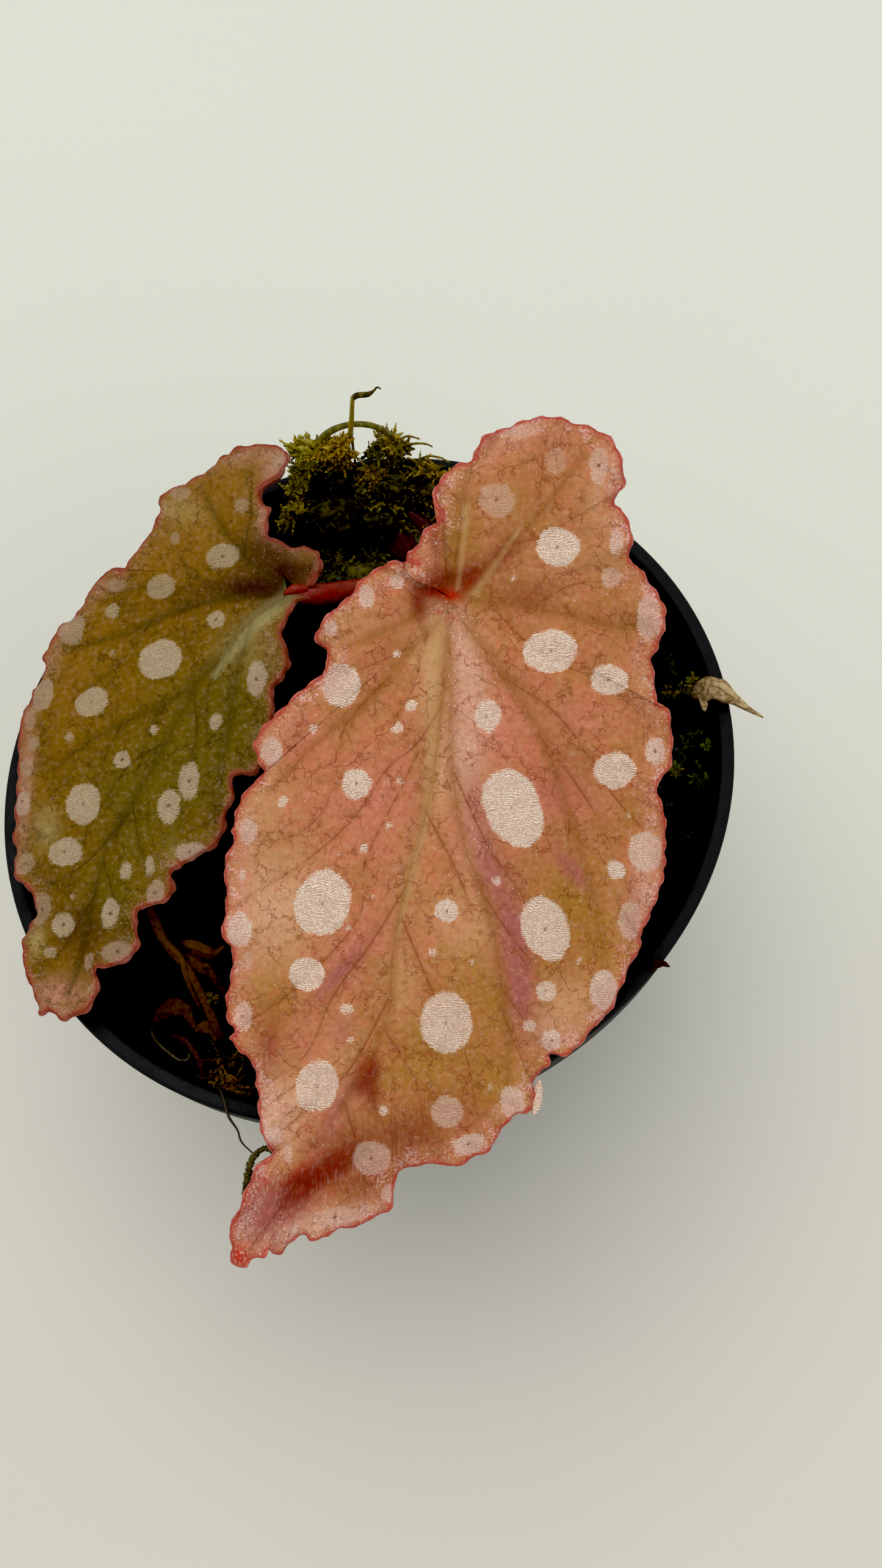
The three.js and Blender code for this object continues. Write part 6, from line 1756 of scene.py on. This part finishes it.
# Shrivelled bits: the name of a piece, its slot, the solid it stands for, the steps, sides, depth and number
# of its ridges, and its parts, each a tone, how flat it is, its radii and its places above the rim.
LITTER = [
    ("dry_sheath", "dry_sheath", ("dry_stipule",), (48, 22, 0.17, 3), [
        (0.4, 0.8, (0.3, 0.95, 1.3, 1.2, 0.85, 0.42, 0.32, 0.24, 0.08), [
            (36.6, 9.8, -1.2), (37.3, 9.8, 0.2), (38.3, 9.6, 1.2), (39.2, 9.2, 1.6), (40.2, 8.7, 1.6),
            (41.2, 7.9, 1.5), (42.2, 7.35, 1.4), (43.2, 6.75, 1.3), (44.1, 6.2, 1.3),
        ]),
        (0.6, 0.8, (0.25, 0.5, 0.52, 0.42, 0.15), [
            (37.4, 9.4, 0.6), (37.5, 8.9, 0.5), (37.6, 8.4, 0.2), (37.7, 8, -0.2), (37.8, 7.7, -0.6),
        ]),
        (0.65, 0.5, (0.1, 0.3, 0.36, 0.25, 0.1), [
            (38.2, 10.2, 2), (39.4, 9.6, 2.4), (40.4, 8.9, 2.2), (41.4, 8.1, 1.9), (42.6, 7.3, 1.5),
        ]),
    ]),
    ("withered_stem", "dead_brown", ("dead_stem",), (64, 16, 0.2, 4), [
        (0.6, 1, (0.5, 0.55, 0.5, 0.48, 0.46, 0.44, 0.36), [
            (-15.9, -29.4, -14), (-17.3, -27.5, -8.6), (-18.5, -24.6, -6), (-20.2, -21.5, -3.4), (-21.7, -20, -2.4),
            (-23, -18.2, -1), (-24.2, -15.4, 0.4),
        ]),
        (0.75, 1, (0.2, 0.3, 0.34, 0.3, 0.26), [
            (-19.2, -25, -7.2), (-20.2, -22.8, -4.2), (-20.8, -20.6, -2.2), (-22.4, -18.9, -1.2), (-23.7, -16.2, -0.2),
        ]),
    ]),
    ("curled_flake", "dead_brown", ("dead_flake",), (30, 20, 0.2, 5), [
        (0.5, 1, (0.4, 0.35, 0.4), [(-15.2, -25.2, -14), (-16.9, -23, -7), (-18.3, -20.8, -4)]),
        (0.7, 0.45, (0.3, 1.2, 1.3, 0.9, 0.3), [
            (-20.8, -18.7, -3.6), (-19.8, -19, -2.8), (-18.6, -19.6, -3.2), (-17.4, -19.8, -3.8), (-16.4, -18.8, -4.4),
        ]),
        (0.5, 0.4, (0.2, 0.9, 0.8, 0.2), [
            (-20.9, -19.9, -4.2), (-19.8, -20.4, -4), (-18.6, -21.2, -4.6), (-17.4, -21.6, -5.6),
        ]),
    ]),
    ("withered_leaf", "dead_brown", (), (26, 16, 0.22, 6), [
        (0.5, 0.35, (0.2, 0.9, 1.1, 0.6, 0.2), [
            (-24.6, -26.2, -9.6), (-23.4, -25.2, -9), (-21.8, -24.8, -8.6), (-20.6, -25.6, -9), (-19.9, -27.2, -9.6),
        ]),
        (0.6, 0.4, (0.2, 0.7, 0.6, 0.2), [
            (-19.8, -27.4, -9.4), (-18.8, -27, -8.8), (-17.9, -27.4, -8.8), (-17.4, -28.6, -9.2),
        ]),
        (0.4, 1, (0.25, 0.3, 0.3, 0.2), [
            (-22.6, -27.8, -9.8), (-20.8, -28.6, -9.2), (-19.4, -30.4, -9), (-18.6, -32.6, -9.6),
        ]),
        (1.3, 0.6, (0.1, 0.3, 0.1), [(-29.8, -26.4, -10), (-29.3, -26.6, -9.5), (-28.9, -27.2, -9.7)]),
        (1.3, 0.6, (0.1, 0.24, 0.1), [(-19.8, -33.8, -8.4), (-19.4, -33.7, -8), (-19, -33.5, -8.2)]),
    ]),
    ("pale_strand", "olive_moss", ("thin_strand",), (60, 10, 0.12, 2), [
        (0.25, 1, (0.24, 0.22, 0.18, 0.16, 0.15, 0.14, 0.1), [
            (-24.4, -25, -14), (-24.5, -27.4, -8.4), (-24, -28.8, -7.4), (-22.8, -29.9, -7.2), (-21.3, -31, -7.2),
            (-20.3, -31, -7.2), (-20.1, -30.3, -7.4),
        ]),
    ]),
    ("root_over_rim", "olive_moss", ("root_and_moss",), (70, 8, 0.15, 2), [
        (0, 1, (0.14, 0.15, 0.12, 0.11, 0.13, 0.1, 0.1, 0.1), [
            (-16.4, -34.3, -3), (-16.2, -35, -0.4), (-15.5, -36, 0.95), (-15, -37.4, 1), (-14.6, -38.6, 0.95),
            (-13.7, -39.9, 0.6), (-13.2, -41.2, 0.8), (-11.5, -42.9, 2.8),
        ]),
    ]),
    ("dark_scrap", "dead_brown", ("rim_scrap",), (30, 16, 0.2, 3), [
        (-0.2, 1, (0.3, 0.45, 0.4, 0.1), [
            (29.4, -22.6, -3), (30.6, -22.2, 0.2), (31.6, -22, 0.95), (32.6, -22.3, 0.8),
        ]),
    ]),
]
MOSS_STRAND = [
    (-12.6, -46.9, 0.6), (-12.4, -45.2, 1.6), (-11.8, -43.2, 2.6), (-10.5, -42.2, 3.2), (-9.2, -43, 3.2),
    (-7.8, -44.2, 2.8),
]


class BEGONIA_OT_litter(bpy.types.Operator):
    """Dry sheath over the rim, dead stem and flake, thin strand, root with its moss strand and a scrap"""

    bl_idname = "begonia.litter"
    bl_label = "Strands and dead bits"

    def execute(self, context):
        dry = rough_material("dry tan sheath", (0.14, 0.065, 0.012), (0.6, 0.44, 0.22), (0.7, 0.6, 0.36), 0.5, 0.7,
                             stripe=(1.4, 3.5, 3.5))
        dead = rough_material("withered brown", (0.02, 0.006, 0.002), (0.14, 0.056, 0.014), (0.2, 0.1, 0.03), 0.5, 0.75,
                              stripe=(2.0, 2.0, 0.5), gloss=0.15)
        olive = rough_material("olive strand", (0.03, 0.018, 0.006), (0.26, 0.22, 0.04), (0.36, 0.28, 0.1), 0.4, 0.7)
        skins = {"dry_sheath": dry, "dead_brown": dead, "olive_moss": olive}
        for name, slot, stands_for, shape, rows in LITTER:
            part = self.bits(rows, *shape)
            if name == "root_over_rim":
                part = joined(part, self.moss_strand())
            add_piece(name, part, skins[slot], stands_for)
        return {"FINISHED"}

    def moss_strand(self):
        """The leafy green strand that the root holds under the big leaf's tip."""
        path = curve(above_rim(MOSS_STRAND), 14)
        return leafy(path[None], 260, 0.95, 0.34, np.random.default_rng(53), np.array([0.45]), lean=1.1)

    def bits(self, rows, steps, sides, depth, number):
        """Shrivelled tubes with uneven ridges along them, as one part."""
        parts = []
        for seed, (tone, flat, radii, places) in enumerate(rows):
            points, faces, _ = stalk(above_rim(places), radii, steps, sides, depth, number, 5.0, 60 + seed, flat)
            parts.append((points, faces, {"tone": np.full(len(points), tone)}))
        return joined(*parts)


# ---------------------------------------------------------------- panel and registration


SETTINGS = {
    "begonia_leaves": BEGONIA_PG_leaves,
    "begonia_pot": BEGONIA_PG_pot,
    "begonia_moss": BEGONIA_PG_moss,
    "begonia_stage": BEGONIA_PG_stage,
}
OPERATORS = (
    BEGONIA_OT_stage,
    BEGONIA_OT_pot,
    BEGONIA_OT_soil,
    BEGONIA_OT_stalks,
    BEGONIA_OT_big_leaf,
    BEGONIA_OT_left_leaf,
    BEGONIA_OT_moss,
    BEGONIA_OT_litter,
)


class BEGONIA_PT_panel(bpy.types.Panel):
    """Settings and steps of the potted begonia"""

    bl_idname = "BEGONIA_PT_panel"
    bl_label = "Potted Begonia"
    bl_space_type = "VIEW_3D"
    bl_region_type = "UI"
    bl_category = "Begonia"

    def draw(self, context):
        for name, group in SETTINGS.items():
            box = self.layout.box()
            for key in group.__annotations__:
                box.prop(getattr(context.scene, name), key)
        for operator in OPERATORS:
            self.layout.operator(operator.bl_idname)


CLASSES = (*SETTINGS.values(), *OPERATORS, BEGONIA_PT_panel)


def register():
    for cls in CLASSES:
        bpy.utils.register_class(cls)
    for name, group in SETTINGS.items():
        setattr(bpy.types.Scene, name, PointerProperty(type=group))


def unregister():
    for name in SETTINGS:
        delattr(bpy.types.Scene, name)
    for cls in reversed(CLASSES):
        bpy.utils.unregister_class(cls)


def main():
    """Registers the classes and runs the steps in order."""
    register()
    for operator in OPERATORS:
        getattr(bpy.ops.begonia, operator.bl_idname.split(".")[1])()
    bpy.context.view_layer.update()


if __name__ == "__main__":
    main()
